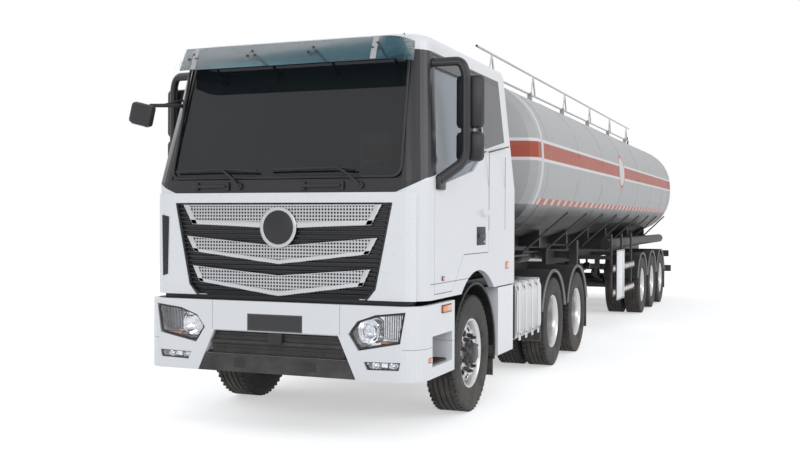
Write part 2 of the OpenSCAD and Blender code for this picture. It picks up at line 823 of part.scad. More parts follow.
module door() {
    intersection() {
        difference() {
            cab_body(0);
            cab_body(cab_wall);
            window_zone(0);
            arch_zone(flare_r + door_gap);
        }
        door_zone(0);
    }
    block(half_width - 5, half_width + 30, door_at[1] - 240, door_at[1] - 60, belt_z - 260, belt_z - 210);
}

module door_glass() {
    intersection() {
        difference() {
            cab_body(22);
            cab_body(30);
        }
        window_zone(-seat_gap);
    }
}

module left_door() { color("white") door(); }
module right_door() { color("white") mirror([1, 0, 0]) door(); }
module left_door_glass() { color("lightsteelblue", 0.6) door_glass(); }
module right_door_glass() { color("lightsteelblue", 0.6) mirror([1, 0, 0]) door_glass(); }

// Two mirror heads behind a bent arm
mirror_x = half_width + 155;
mirror_at = 640;
module door_mirror() {
    arm_r = 26;
    difference() {
        bent_bar([[roof_half - 10, at(door_at[0] + 250), door_top_z - 65],
            [mirror_x - 40, at(mirror_at), door_top_z - 60], [mirror_x, at(mirror_at), door_top_z - 160],
            [mirror_x, at(mirror_at), belt_z + 230], [half_width - 10, at(door_at[0] + 60), belt_z + 10]], arm_r);
        cab_body(-seat_gap);
    }
    block(mirror_x - 110, mirror_x + 120, mirror_at + 60, mirror_at + 160, 2460, door_top_z - 150);
    block(mirror_x - 110, mirror_x + 120, mirror_at + 60, mirror_at + 160, belt_z + 170, 2440);
    for (z = [2330, 2620]) block(mirror_x - 15, mirror_x + 15, mirror_at, mirror_at + 61, z, z + 70);
    block(mirror_x - 15, mirror_x + 15, mirror_at + 75, mirror_at + 125, 2435, 2465);
}

module left_mirror() { color("black") door_mirror(); }
module right_mirror() { color("black") mirror([1, 0, 0]) door_mirror(); }

module front_mirror() {
    color("black") {
        difference() {
            bar([-roof_half + 60, at(roof_front_at), roof_z - 540], [-roof_half - 140, at(90), roof_z - 545], 16);
            cab_body(-seat_gap);
        }
        block(-roof_half - 340, -roof_half - 90, 30, 120, roof_z - 740, roof_z - 510);
    }
}

// ---------- trailer ----------

// A point on the tank's oval
oval_power = 2.35;           // 2 is an ellipse; more makes the sides flatter
oval_points = 48;
function oval(angle, half_w, half_h) = [
    half_w * sign(cos(angle)) * pow(abs(cos(angle)), 2 / oval_power),
    half_h * sign(sin(angle)) * pow(abs(sin(angle)), 2 / oval_power)];

// One ring of points round the tank, at a station and a share of the full size
function tank_ring(station, inset, share) = [
    for (i = [0 : oval_points - 1])
        let (p = oval(i * 360 / oval_points, (tank_width / 2 - inset) * share, (tank_height / 2 - inset) * share))
            [p.x, at(station), tank_mid_z + p.y]];

// The whole tank: a long oval with dished ends, taken in by "inset" on every side
dish = 230;
dish_steps = [[0, 0.55], [0.2, 0.76], [0.55, 0.94], [1, 1]];
module tank_body(inset) {
    front = [for (step = dish_steps) tank_ring(tank_front_at + inset + step[0] * dish, inset, step[1])];
    back = [for (k = [len(dish_steps) - 1 : -1 : 0])
        tank_ring(tank_back_at - inset - dish_steps[k][0] * dish, inset, dish_steps[k][1])];
    loft(concat(front, back));
}

manhole_stations = [for (i = [0 : 2]) tank_front_at + 2200 + i * (tank_back_at - tank_front_at - 4400) / 2];
manhole_x = -210;
neck_z = tank_top_z + 60;

module tank() {
    color("silver") {
        difference() {
            tank_body(0);
            tank_body(tank_wall);
        }
        for (station = manhole_stations)
            difference() {
                translate([manhole_x, at(station), tank_top_z - 60]) cylinder(r = lid_r - 15, h = 120, $fn = 64);
                tank_body(0);
            }
        walkway();
    }
}

// Raised kerbs beside the manholes, and the feet of the handrail
rail_x = 440;
kerb_z = tank_top_z + 40;
hinge_z = tank_top_z + 70;
rail_span = [tank_front_at + 350, tank_back_at - 1300];
posts = 6;
function post_at(i) = rail_span[0] + 500 + i * (rail_span[1] - rail_span[0] - 1000) / (posts - 1);
module walkway() {
    difference() {
        union() {
            block(-560, -540, rail_span[0], rail_span[1], tank_top_z - 120, kerb_z);
            for (i = [0 : posts - 1])
                block(rail_x - 30, rail_x + 30, post_at(i) - 90, post_at(i) - 50, tank_top_z - 110, hinge_z + 22);
        }
        tank_body(0);
        long_rod(rail_x, rail_span[0] - 10, rail_span[1] + 10, hinge_z, 14 + seat_gap);
    }
}

module handrail() {
    color("gray") {
        long_rod(rail_x, rail_span[0], rail_span[1], hinge_z, 14);
        long_rod(rail_x, rail_span[0], rail_span[1], hinge_z + 270, 14);
        for (i = [0 : posts - 1]) {
            bar([rail_x, at(post_at(i) - 10), hinge_z], [rail_x, at(post_at(i) + 110), hinge_z + 270], 12);
            bar([rail_x, at(post_at(i) + 230), hinge_z], [rail_x, at(post_at(i) + 110), hinge_z + 270], 12);
        }
    }
}

module manhole_lid(station) {
    color("gray") translate([manhole_x, at(station), neck_z + seat_gap]) {
        cylinder(r = lid_r, h = 35, $fn = 64);
        cylinder(r = 90, h = 65, $fn = 48);
    }
}

beam_x = [420, 480];
neck_end_at = kingpin_at + 1950;
module trailer_frame() {
    color("dimgray") {
        difference() {
            union() {
                blocks(beam_x[0], beam_x[1], tank_front_at + 500, neck_end_at + 200, coupling_z + 20, tank_base_z + 120);
                blocks(beam_x[0], beam_x[1], neck_end_at + 200, overall_length - 120, 1060, tank_base_z + 120);
                for (station = [tank_front_at + 520, kingpin_at + 600, 7400, 9000, 10600, 13000, 15300])
                    block(-760, 760, station, station + 60, tank_base_z - 60, tank_base_z + 260);
                block(-600, 600, kingpin_at - 600, kingpin_at + 700, coupling_z + seat_gap, coupling_z + 24);
            }
            tank_body(0);
        }
        translate([0, at(kingpin_at), coupling_z - 80]) cylinder(r = kingpin_r, h = 90, $fn = 64);
    }
}

// Underrun bar with its two hangers, lamp boxes and the rear ladder
ladder_top_z = tank_top_z + 250;
module rear_bumper() {
    color("dimgray") {
        block(-1200, 1200, overall_length - 60, overall_length, 560, 700);
        both_sides() {
            block(beam_x[0], beam_x[1], overall_length - 119.7, overall_length - 60, 580, 1400);
            block(780, 1150, overall_length - 100, overall_length - 20, 900, 1040);
            block(beam_x[1] - 10, 800, overall_length - 100, overall_length - 60, 960, 1040);
            bent_bar([[230, at(overall_length - 40), 650], [230, at(overall_length - 40), tank_top_z - 100],
                [230, at(overall_length - 250), ladder_top_z]], 16);
        }
        for (z = [800 : 280 : tank_top_z - 100]) axle_rod(-230, 230, overall_length - 40, z, 12);
    }
}

// Two hose tubes under each flank of the tank, on brackets off the beams
tube_at = [9200, 15900];
module hose_tubes() {
    color("gray") both_sides() {
        difference() {
            union() {
                long_rod(half_width - 235, tube_at[0], tube_at[1], 1330, 85);
                for (station = [tube_at[0] + 400 : 1100 : tube_at[1] - 300])
                    block(beam_x[1] + seat_gap, half_width - 285, station, station + 40, 1240, 1400);
                for (station = [5400 : 1250 : 15600])
                    bar([700, at(station - 300), tank_base_z - 120], [1150, at(station + 250), tank_base_z + 380], 14);
                for (station = [5400 : 1250 : 15600])
                    block(beam_x[1] + seat_gap, 720, station - 320, station - 280, tank_base_z - 140, tank_base_z - 90);
            }
            tank_body(-seat_gap);
        }
    }
}

// Bottom outlet pipe, ending at a flange on the right side
outlet_at = 11150;
outlet_z = 1000;
flange_pcd = 180;
flange_hole_r = 9;
module discharge_pipe() {
    color("silver") {
        axle_rod(-1100, -beam_x[0] + 60, outlet_at, outlet_z, 54);
        difference() {
            translate([-360, at(outlet_at), outlet_z]) cylinder(r = 54, h = 600, $fn = 64);
            tank_body(-seat_gap);
        }
        translate([-360, at(outlet_at), outlet_z]) sphere(r = 56, $fn = 64);
        translate([-1100, at(outlet_at), outlet_z]) rotate([0, 90, 0]) difference() {
            translate([0, 0, -40]) cylinder(r = 110, h = 42, $fn = 96);
            translate([0, 0, -41]) cylinder(r = 50, h = 30, $fn = 64);
            for (i = [0 : 7]) rotate([0, 0, 22.5 + i * 45])
                translate([flange_pcd / 2, 0, -41]) cylinder(r = flange_hole_r, h = 21, $fn = 32);
        }
    }
}

module trailer_axles() {
    color("dimgray") {
        end = axle_inner_x + hub_reach - 10;
        for (station = trailer_stations) {
            axle_rod(-axle_inner_x + 2, axle_inner_x - 2, station, axle_z, 65);
            axle_rod(-end, end, station, axle_z, spindle_r);
        }
        both_sides() for (station = trailer_stations) {
            leaf_spring(station, 450, trailer_spacing / 2 - 70, axle_z + 170);
            block(410, 490, station - 60, station + 60, axle_z + 50, axle_z + 110);
            for (end = [-1, 1])
                block(430, 470, station + end * (trailer_spacing / 2 - 100) - 25,
                    station + end * (trailer_spacing / 2 - 100) + 25, axle_z + 170, 1060);
        }
    }
}

legs_at = kingpin_at + 2700;
module landing_legs() {
    color("dimgray") both_sides() {
        block(700, 820, legs_at, legs_at + 120, 620, 1420);
        block(640, 880, legs_at - 60, legs_at + 180, 430, 460);
        block(730, 790, legs_at + 30, legs_at + 90, 460, 620);
        block(beam_x[1], 700, legs_at + 20, legs_at + 100, 1150, 1250);
    }
}

module side_guards() {
    color("silver") both_sides() {
        for (z = [520, 900]) block(half_width - 60, half_width - 30, 8700, 10900, z, z + 110);
        for (station = [8760, 9750, 10780])
            block(half_width - 90, half_width - 60, station, station + 60, 520, 1500);
        for (station = [8760, 10780])
            block(beam_x[1], half_width - 60, station, station + 60, 1100, 1160);
    }
    color("white") block(half_width - 29.7, half_width - 20, 9000, 9750, 440, 1240);
}

module trailer_fenders() {
    color("black") both_sides() for (station = trailer_stations) {
        fender(station, axle_z, fender_r - 10, 640);
        block(beam_x[1], twin_centre - 315, station - 25, station + 25,
            min(1062, axle_z + fender_r - 30), max(1080, axle_z + fender_r - 4));
    }
}

// ---------- assembly ----------

chassis_frame();
engine_block();
front_axle();
drive_axles();
springs();
fifth_wheel();
front_bumper();
bumper_valance();
headlights();
side_steps();
fuel_tank();
battery_box();
drive_fenders();
knuckle_left();
knuckle_right();
front_rim_left();
front_tyre_left();
front_rim_right();
front_tyre_right();
twin_wheels(drive_stations[0], 1);  // drive_wheels_1_left
twin_wheels(drive_stations[0], -1);  // drive_wheels_1_right
twin_wheels(drive_stations[1], 1);  // drive_wheels_2_left
twin_wheels(drive_stations[1], -1);  // drive_wheels_2_right
cab_shell();
windshield();
front_panel();
grille_bars();
sun_visor();
seats();
dashboard();
front_mirror();
left_door();
left_door_glass();
left_mirror();
right_door();
right_door_glass();
right_mirror();
tank();
trailer_frame();
trailer_axles();
landing_legs();
side_guards();
trailer_fenders();
hose_tubes();
discharge_pipe();
rear_bumper();
handrail();
manhole_lid(manhole_stations[0]);  // manhole_lid_1
manhole_lid(manhole_stations[1]);  // manhole_lid_2
manhole_lid(manhole_stations[2]);  // manhole_lid_3
twin_wheels(trailer_stations[0], 1);  // trailer_wheels_1_left
twin_wheels(trailer_stations[0], -1);  // trailer_wheels_1_right
twin_wheels(trailer_stations[1], 1);  // trailer_wheels_2_left
twin_wheels(trailer_stations[1], -1);  // trailer_wheels_2_right
twin_wheels(trailer_stations[2], 1);  // trailer_wheels_3_left
twin_wheels(trailer_stations[2], -1);  // trailer_wheels_3_right
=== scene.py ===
# %% [markdown]
# # Tanker truck
# A cab-over tractor unit that pulls an oval tank on three axles. The frame with the hinges, the
# sizes and the plain solids is made elsewhere and is only loaded here. This lesson adds what the
# eye sees: paint, glass, chrome, rubber, and the small pieces that a plain solid leaves out.

import math

import bmesh
import bpy
from mathutils import Matrix, Vector


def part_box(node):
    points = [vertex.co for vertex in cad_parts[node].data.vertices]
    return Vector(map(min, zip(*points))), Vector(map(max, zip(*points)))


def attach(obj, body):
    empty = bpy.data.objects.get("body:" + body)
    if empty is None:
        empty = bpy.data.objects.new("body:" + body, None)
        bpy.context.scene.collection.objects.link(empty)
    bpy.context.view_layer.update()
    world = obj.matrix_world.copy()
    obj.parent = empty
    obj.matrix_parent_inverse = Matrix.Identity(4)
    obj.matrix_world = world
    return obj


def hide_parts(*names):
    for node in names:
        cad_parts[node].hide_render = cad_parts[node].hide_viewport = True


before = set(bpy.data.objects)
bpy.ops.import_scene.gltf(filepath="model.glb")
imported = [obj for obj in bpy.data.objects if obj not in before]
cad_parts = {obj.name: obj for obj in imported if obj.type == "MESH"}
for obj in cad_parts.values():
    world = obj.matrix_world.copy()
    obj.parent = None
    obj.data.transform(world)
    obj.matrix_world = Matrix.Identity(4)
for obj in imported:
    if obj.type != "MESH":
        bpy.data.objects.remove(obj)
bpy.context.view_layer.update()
LENGTH = 16.6


# %% [markdown]
# Places along a lorry are easiest to give as stations: metres behind the front bumper. Every shape
# below is added to a bmesh, a mesh that is being edited, by one of a few small helpers. A piece can
# so hold many shapes and stay one object that rides on one body.

# %% Stations and boxes
def at(station):
    """Y of a station."""
    return station - LENGTH / 2


def tag(verts, mat):
    for face in {f for v in verts for f in v.link_faces}:
        face.material_index = mat


def round_edges(bm, verts, width):
    if width:
        edges = list({e for v in verts for e in v.link_edges})
        bmesh.ops.bevel(bm, geom=edges, offset=width, segments=2, profile=0.5, affect="EDGES")


def box(bm, x, s, z, soften=0.0, mat=0, turn=None):
    """A box between x[0], x[1] and so on, with softened edges. turn is (axis, degrees, centre)."""
    verts = bmesh.ops.create_cube(bm, size=1.0)["verts"]
    y = (at(s[0]), at(s[1]))
    for v in verts:
        v.co = Vector([low + (c + 0.5) * (high - low) for c, (low, high) in zip(v.co, (x, y, z))])
    tag(verts, mat)
    if turn:
        spin = Matrix.Rotation(math.radians(turn[1]), 3, turn[0])
        bmesh.ops.rotate(bm, verts=verts, cent=Vector(turn[2]), matrix=spin)
    round_edges(bm, verts, soften)


print("the front is at y =", at(0))


# %% Plates with an outline
def prism(bm, outline, front, back, soften=0.0, mat=0):
    """An outline of (x, z) made solid between two stations."""
    rings = [[bm.verts.new((x, y, z)) for x, z in outline] for y in (at(front), at(back))]
    count = len(outline)
    faces = [bm.faces.new(ring) for ring in rings]
    for i in range(count):
        j = (i + 1) % count
        faces.append(bm.faces.new((rings[0][i], rings[0][j], rings[1][j], rings[1][i])))
    bmesh.ops.recalc_face_normals(bm, faces=faces)
    tag(rings[0] + rings[1], mat)
    round_edges(bm, rings[0] + rings[1], soften)


trial = bmesh.new()
prism(trial, [(0, 0), (1, 0), (0, 1)], 0, 1)
print("a three-sided plate has", len(trial.faces), "faces")
trial.free()


# %% Rods and bends
def fillet(points, radius, steps=6):
    """The same path with its corners rounded."""
    pts = [Vector(p) for p in points]
    path = [pts[0]]
    for a, b, c in zip(pts, pts[1:], pts[2:]):
        reach = min(radius, (a - b).length * 0.45, (c - b).length * 0.45)
        p, q = b + (a - b).normalized() * reach, b + (c - b).normalized() * reach
        for i in range(steps + 1):
            t = i / steps
            path.append(p * (1 - t) ** 2 + b * 2 * t * (1 - t) + q * t**2)
    return path + [pts[-1]]


def rod(bm, points, r, sides=12, mat=0, flat=1.0):
    """A round bar along a path; flat squeezes its section."""
    pts = [Vector(p) for p in points]
    rings, normal = [], None
    for i, p in enumerate(pts):
        along = (pts[min(i + 1, len(pts) - 1)] - pts[max(i - 1, 0)]).normalized()
        normal = along.orthogonal() if normal is None else normal - along * normal.dot(along)
        normal.normalize()
        side = along.cross(normal)
        turns = [2 * math.pi * k / sides for k in range(sides)]
        rings.append([
            bm.verts.new(p + (normal * math.cos(a) + side * math.sin(a) * flat) * r) for a in turns
        ])
    faces = [bm.faces.new(rings[0]), bm.faces.new(rings[-1])]
    for a, b in zip(rings, rings[1:]):
        for k in range(sides):
            faces.append(bm.faces.new((a[k], a[(k + 1) % sides], b[(k + 1) % sides], b[k])))
    bmesh.ops.recalc_face_normals(bm, faces=faces)
    tag([v for ring in rings for v in ring], mat)


print("a filleted corner has", len(fillet([(0, 0, 0), (1, 0, 0), (1, 1, 0)], 0.1)), "points")


# %% Turned shapes
def turned(bm, outline, centre, axis="x", steps=48, mat=0):
    """An outline of (distance along the axis, radius) turned about an axis through centre."""
    place = {
        "x": lambda h, c, d: (h, c, d),
        "y": lambda h, c, d: (c, h, d),
        "z": lambda h, c, d: (c, d, h),
    }[axis]
    rings = []
    for along, r in outline:
        turns = [0.0] if r == 0 else [2 * math.pi * k / steps for k in range(steps)]
        spots = [place(along, r * math.cos(a), r * math.sin(a)) for a in turns]
        rings.append([bm.verts.new(Vector(centre) + Vector(spot)) for spot in spots])
    faces = []
    for a, b in zip(rings, rings[1:]):
        for k in range(steps if len(a) + len(b) > 2 else 0):
            j = (k + 1) % steps
            if len(a) == 1:
                corners = [a[0], b[j], b[k]]
            elif len(b) == 1:
                corners = [a[k], a[j], b[0]]
            else:
                corners = [a[k], a[j], b[j], b[k]]
            faces.append(bm.faces.new(corners))
    bmesh.ops.recalc_face_normals(bm, faces=faces)
    tag([v for ring in rings for v in ring], mat)


def cap(bm, low, high, r, top, centre, axis="x", steps=16, mat=0):
    """A closed round stub from low, where its radius is r, to high, where it is top."""
    turned(bm, [(low, 0), (low, r), (high, top), (high, 0)], centre, axis, steps, mat)


def around(place, radius, count, shift=0.0):
    """Points evenly round a circle."""
    turns = [2 * math.pi * (k + shift) / count for k in range(count)]
    return [(place[0] + radius * math.cos(a), place[1] + radius * math.sin(a)) for a in turns]


print("a hexagon nut has", len(around((0, 0), 0.01, 6)), "corners")


# %% Both sides, and the finished piece
def flip(bm, verts, faces):
    """Moves a shape to the vehicle's other side."""
    for v in verts:
        v.co.x = -v.co.x
    bmesh.ops.reverse_faces(bm, faces=faces)


def mirrored(bm):
    """Adds the other side of the vehicle."""
    copy = bmesh.ops.duplicate(bm, geom=bm.verts[:] + bm.edges[:] + bm.faces[:])["geom"]
    verts = [g for g in copy if isinstance(g, bmesh.types.BMVert)]
    flip(bm, verts, [g for g in copy if isinstance(g, bmesh.types.BMFace)])


def piece(bm, name, body, finishes, smooth=35, replaces=()):
    """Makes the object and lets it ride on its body."""
    mesh = bpy.data.meshes.new(name)
    bm.to_mesh(mesh)
    bm.free()
    for material in finishes:
        mesh.materials.append(material)
    mesh.shade_smooth()
    mesh.set_sharp_from_angle(angle=math.radians(smooth))
    obj = bpy.data.objects.new(name, mesh)
    bpy.context.scene.collection.objects.link(obj)
    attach(obj, body)
    if replaces:
        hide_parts(*replaces)
    print(name, "has", len(mesh.polygons), "faces and rides on", body)


# %% [markdown]
# # Finishes
# Paint, rubber, plastic and metal on a lorry share three effects: a slow change of tone over the
# surface, road dust that is thickest near the wheels, and a fine grain in the surface itself. Each
# effect is one node group with named inputs, placed in every material with that material's values.

# %% Helpers for nodes
def add_node(tree, kind, links=(), **settings):
    """A node with its settings, and links as {input: socket or plain value}."""
    node = tree.nodes.new("ShaderNode" + kind)
    for key, value in settings.items():
        setattr(node, key, value)
    connect(tree, node, dict(links))
    return node


def connect(tree, node, links):
    for key, value in links.items():
        if isinstance(value, bpy.types.NodeSocket):
            tree.links.new(value, node.inputs[key])
        else:
            node.inputs[key].default_value = value


def reckon(tree, operation, *values, clamp=False):
    """The result of a Math node."""
    links = dict(enumerate(values))
    return add_node(tree, "Math", links, operation=operation, use_clamp=clamp).outputs[0]


def ramp(tree, value, start, end, low=0.0, high=1.0, **settings):
    """The value carried from start..end to low..high, and held beyond both."""
    links = {0: value, 1: start, 2: end, 3: low, 4: high}
    return add_node(tree, "MapRange", links, **settings).outputs[0]


def spot_of(tree):
    """The place on the surface, in the vehicle's own metres."""
    return add_node(tree, "TexCoord").outputs["Object"]


def cloud(tree, place, scale, detail, **more):
    """Soft noise from 0 to 1."""
    links = {"Vector": place, "Scale": scale, "Detail": detail, **more}
    return add_node(tree, "TexNoise", links).outputs["Fac"]


def new_group(name, inputs, outputs):
    group = bpy.data.node_groups.new(name, "ShaderNodeTree")
    kinds = {"colour": "NodeSocketColor", "value": "NodeSocketFloat", "normal": "NodeSocketVector"}
    for label, kind, start in inputs:
        socket = group.interface.new_socket(name=label, in_out="INPUT", socket_type=kinds[kind])
        socket.default_value = start
    for label, kind in outputs:
        group.interface.new_socket(name=label, in_out="OUTPUT", socket_type=kinds[kind])
    inside = group.nodes.new("NodeGroupInput").outputs
    return group, inside, group.nodes.new("NodeGroupOutput")


print("node groups so far:", len(bpy.data.node_groups))

# %% Tone: a slow change of colour
PALE, MUD = (0.8, 0.8, 0.8, 1), (0.3, 0.27, 0.23, 1)
tone, inside, out = new_group(
    "tone",
    [("Colour", "colour", PALE), ("Amount", "value", 0.05), ("Scale", "value", 1.5)],
    [("Colour", "colour")],
)
shift = reckon(tone, "SUBTRACT", cloud(tone, spot_of(tone), inside["Scale"], 4.0), 0.5)
factor = reckon(tone, "ADD", reckon(tone, "MULTIPLY", shift, inside["Amount"]), 1.0)
links = {0: inside["Colour"], "Scale": factor}
mixed = add_node(tone, "VectorMath", links, operation="SCALE").outputs[0]
connect(tone, out, {"Colour": mixed})
print("group tone:", len(tone.nodes), "nodes")

# %% Road dust: settles low down, in patches
road_dust, inside, out = new_group(
    "road dust",
    [("Colour", "colour", PALE), ("Dust", "colour", MUD), ("Amount", "value", 0.4),
     ("Height", "value", 1.1)],
    [("Colour", "colour"), ("Mask", "value")],
)
place = spot_of(road_dust)
height = add_node(road_dust, "SeparateXYZ", {0: place}).outputs["Z"]
low = ramp(road_dust, height, 0.2, inside["Height"], 1.0, 0.0)
patch = ramp(road_dust, cloud(road_dust, place, 5.0, 6.0, Roughness=0.65), 0.35, 0.7)
both = reckon(road_dust, "MULTIPLY", low, patch)
mask = reckon(road_dust, "MULTIPLY", both, inside["Amount"])
links = {0: mask, 6: inside["Colour"], 7: inside["Dust"]}
mixed = add_node(road_dust, "Mix", links, data_type="RGBA").outputs[2]
connect(road_dust, out, {"Colour": mixed, "Mask": mask})
print("group road dust:", len(road_dust.nodes), "nodes")

# %% Fine grain: the surface's own small unevenness
GRAIN_HEIGHT = 0.002
fine_grain, inside, out = new_group(
    "fine grain",
    [("Scale", "value", 400.0), ("Stretch", "normal", (1, 1, 1)), ("Strength", "value", 0.1),
     ("Rough", "value", 0.4), ("Spread", "value", 0.1)],
    [("Normal", "normal"), ("Roughness", "value")],
)
links = {0: spot_of(fine_grain), 1: inside["Stretch"]}
stretched = add_node(fine_grain, "VectorMath", links, operation="MULTIPLY").outputs[0]
grains = cloud(fine_grain, stretched, inside["Scale"], 3.0)
links = {"Height": grains, "Strength": inside["Strength"], "Distance": GRAIN_HEIGHT}
bump = add_node(fine_grain, "Bump", links).outputs[0]
middle = reckon(fine_grain, "SUBTRACT", grains, 0.5)
wide = reckon(fine_grain, "MULTIPLY", middle, inside["Spread"])
rough = reckon(fine_grain, "ADD", wide, inside["Rough"], clamp=True)
connect(fine_grain, out, {"Normal": bump, "Roughness": rough})
print("group fine grain:", len(fine_grain.nodes), "nodes")


# %% [markdown]
# One function puts the three groups in front of a Principled BSDF. A finish is then a line of
# numbers: its colour, how rough and how metallic it is, its clear coat, its dust and its grain.
# Numbers that are the same all over the surface are set on the shader itself.

# %% A finish from the shared groups
def new_surface(name):
    """A material, its tree and its shader."""
    material = bpy.data.materials.new(name)
    material.use_nodes = True
    return material, material.node_tree, material.node_tree.nodes["Principled BSDF"]


def finish(name, colour, rough, metal=0.0, coat=0.0, vary=0.06, dust=0.0, top=1.1, scale=400.0,
           stretch=(1, 1, 1), grain=0.05, spread=0.1):
    """A material; colour is plain numbers, or a function that builds the colour in the tree."""
    material, tree, shader = new_surface(name)
    base = colour(tree) if callable(colour) else (*colour, 1)
    links = {"Colour": base, "Amount": vary, "Scale": 1.5}
    tint = add_node(tree, "Group", links, node_tree=tone).outputs[0]
    links = {"Colour": tint, "Amount": dust, "Height": top, "Dust": MUD}
    dusty = add_node(tree, "Group", links, node_tree=road_dust).outputs
    links = {"Scale": scale, "Stretch": stretch, "Strength": grain, "Rough": rough, "Spread": spread}
    skin = add_node(tree, "Group", links, node_tree=fine_grain).outputs
    matt = reckon(tree, "MULTIPLY_ADD", dusty["Mask"], 0.5, skin["Roughness"], clamp=True)
    connect(tree, shader, {
        "Base Color": dusty["Colour"], "Roughness": matt, "Normal": skin["Normal"],
        "Metallic": metal, "Coat Weight": coat, "Coat Roughness": 0.04,
    })
    return material


print("shared groups:", [group.name for group in bpy.data.node_groups])

# %% Paints and plastics
WHITE = (0.8, 0.81, 0.83)
white_paint = finish("white paint", WHITE, 0.28, coat=0.6, vary=0.02, dust=0.15, top=0.9, scale=20,
                     grain=0.003)
white_plastic = finish("white bumper plastic", WHITE, 0.3, coat=0.5, vary=0.02, dust=0.12, top=0.6,
                       scale=20, grain=0.003)
charcoal = finish("charcoal gloss trim", (0.01, 0.01, 0.014), 0.42, vary=0.1, scale=80, grain=0.02)
quarter_grey = finish("grey edge trim", (0.3, 0.3, 0.31), 0.45, vary=0.08, scale=300)
black_plastic = finish("moulded black plastic", (0.018, 0.018, 0.02), 0.55, vary=0.2, dust=0.25,
                       top=1.2, scale=700, grain=0.25, spread=0.2)
rubber = finish("tyre rubber", (0.022, 0.021, 0.022), 0.72, vary=0.3, dust=0.35, top=1.3, scale=500,
                grain=0.3, spread=0.2)
chassis_paint = finish("chassis paint", (0.022, 0.022, 0.025), 0.5, vary=0.3, dust=0.45, top=1.4,
                       scale=220, grain=0.15, spread=0.3)
orange_lens = finish("orange lens", (0.85, 0.2, 0.02), 0.18, coat=0.8, vary=0.15, scale=120, grain=0.2)
red_lens = finish("red lens", (0.55, 0.015, 0.01), 0.2, coat=0.8, vary=0.15, scale=120, grain=0.2)
seat_cloth = finish("seat cloth", (0.05, 0.05, 0.06), 0.9, vary=0.3, scale=900, grain=0.6)
print("paints and plastics:", len(bpy.data.materials))

# %% Metals
polished = finish("polished rim metal", (0.62, 0.62, 0.63), 0.3, metal=1.0, vary=0.08, dust=0.2,
                  top=0.7, scale=90, grain=0.03, spread=0.25)
satin_metal = finish("satin metal", (0.52, 0.53, 0.55), 0.34, metal=1.0, vary=0.1, scale=30,
                     stretch=(1, 30, 30), grain=0.08, spread=0.2)
tank_metal = finish("brushed alloy", (0.66, 0.67, 0.68), 0.34, metal=1.0, vary=0.08, dust=0.2,
                    top=1.2, scale=40, stretch=(20, 20, 1), grain=0.08, spread=0.2)
dark_metal = finish("dark hub metal", (0.06, 0.06, 0.065), 0.4, metal=0.7, vary=0.2, dust=0.4,
                    top=0.9, scale=200, grain=0.2, spread=0.3)
mirror_metal = finish("lamp reflector", (0.85, 0.86, 0.88), 0.08, metal=1.0, vary=0.05, scale=60,
                      grain=0.02, spread=0.04)
print("finishes so far:", len(bpy.data.materials))


# %% [markdown]
# Glass is thin here: a dark tinted pane that lets a little of the cab show through. The tint has a
# slow change of tone, as toughened glass has, while metallic and transmission stay plain numbers.
# The door glass is paler, and its blue-grey is a painted reflection on the pane.

# %% Glass
def glass(name, colour, clear, rough=0.02):
    material, tree, shader = new_surface(name)
    links = {"Colour": (*colour, 1), "Amount": 0.12, "Scale": 1.2}
    tint = add_node(tree, "Group", links, node_tree=tone).outputs[0]
    links = {"Scale": 2.0, "Strength": 0.02, "Rough": rough, "Spread": 0.02}
    skin = add_node(tree, "Group", links, node_tree=fine_grain).outputs
    connect(tree, shader, {
        "Base Color": tint, "Roughness": skin["Roughness"], "Normal": skin["Normal"],
        "Transmission Weight": clear, "IOR": 1.45,
    })
    return material


screen_glass = glass("screen glass", (0.035, 0.04, 0.045), 0.72)
# Painted reflection: the door glass's pale blue-grey colour stands in for light that the pane
# reflects.
door_glass = glass("door glass", (0.26, 0.33, 0.4), 0.45)
visor_glass = glass("smoked visor", (0.02, 0.095, 0.135), 0.42, rough=0.12)
lens_glass = glass("clear lens", (0.93, 0.94, 0.96), 0.96, rough=0.03)
print("finishes:", [m.name for m in bpy.data.materials])


# %% [markdown]
# The frame's own solids that already have the right shape only need a finish. A node's place is in
# its mesh, so a pattern that is laid by object coordinates sits in the vehicle's own metres. Masks
# are numbers from 0 to 1, and a colour is laid over another where its mask is 1.

# %% Masks and layers of colour
def metres(tree):
    """Y, Z and the distance from the middle."""
    split = add_node(tree, "SeparateXYZ", {0: spot_of(tree)}).outputs
    return split["Y"], split["Z"], reckon(tree, "ABSOLUTE", split["X"])


EDGE_BLUR = 0.002


def between(tree, value, low, high, blur=EDGE_BLUR):
    """A mask that is 1 between two values."""
    up = ramp(tree, value, low - blur, low + blur)
    return reckon(tree, "MULTIPLY", up, ramp(tree, value, high - blur, high + blur, 1.0, 0.0))


def all_of(tree, mask, *others):
    """A mask that is 1 only where all of them are."""
    for other in others:
        mask = reckon(tree, "MULTIPLY", mask, other)
    return mask


def over(tree, mask, below, above):
    """The colour above where the mask is 1, and the colour below elsewhere."""
    pair = [c if isinstance(c, bpy.types.NodeSocket) else (*c, 1) for c in (below, above)]
    return add_node(tree, "Mix", {0: mask, 6: pair[0], 7: pair[1]}, data_type="RGBA").outputs[2]


print("the edge of a painted stripe is", 2 * EDGE_BLUR, "m wide")

# %% [markdown]
# The tank is one plain oval solid, so its red stripe, the blank round sign and the row of reflectors
# are all painted on by height and by station. Its dark lower half is painted shade.

# %% The tank's paint
STRIPE = (2.42, 2.6)
DASHES = (1.9, 1.97)
DASH_STEP = 0.36
SIGN_AT, SIGN_Z, SIGN_RADIUS = 9.6, 2.52, 0.255


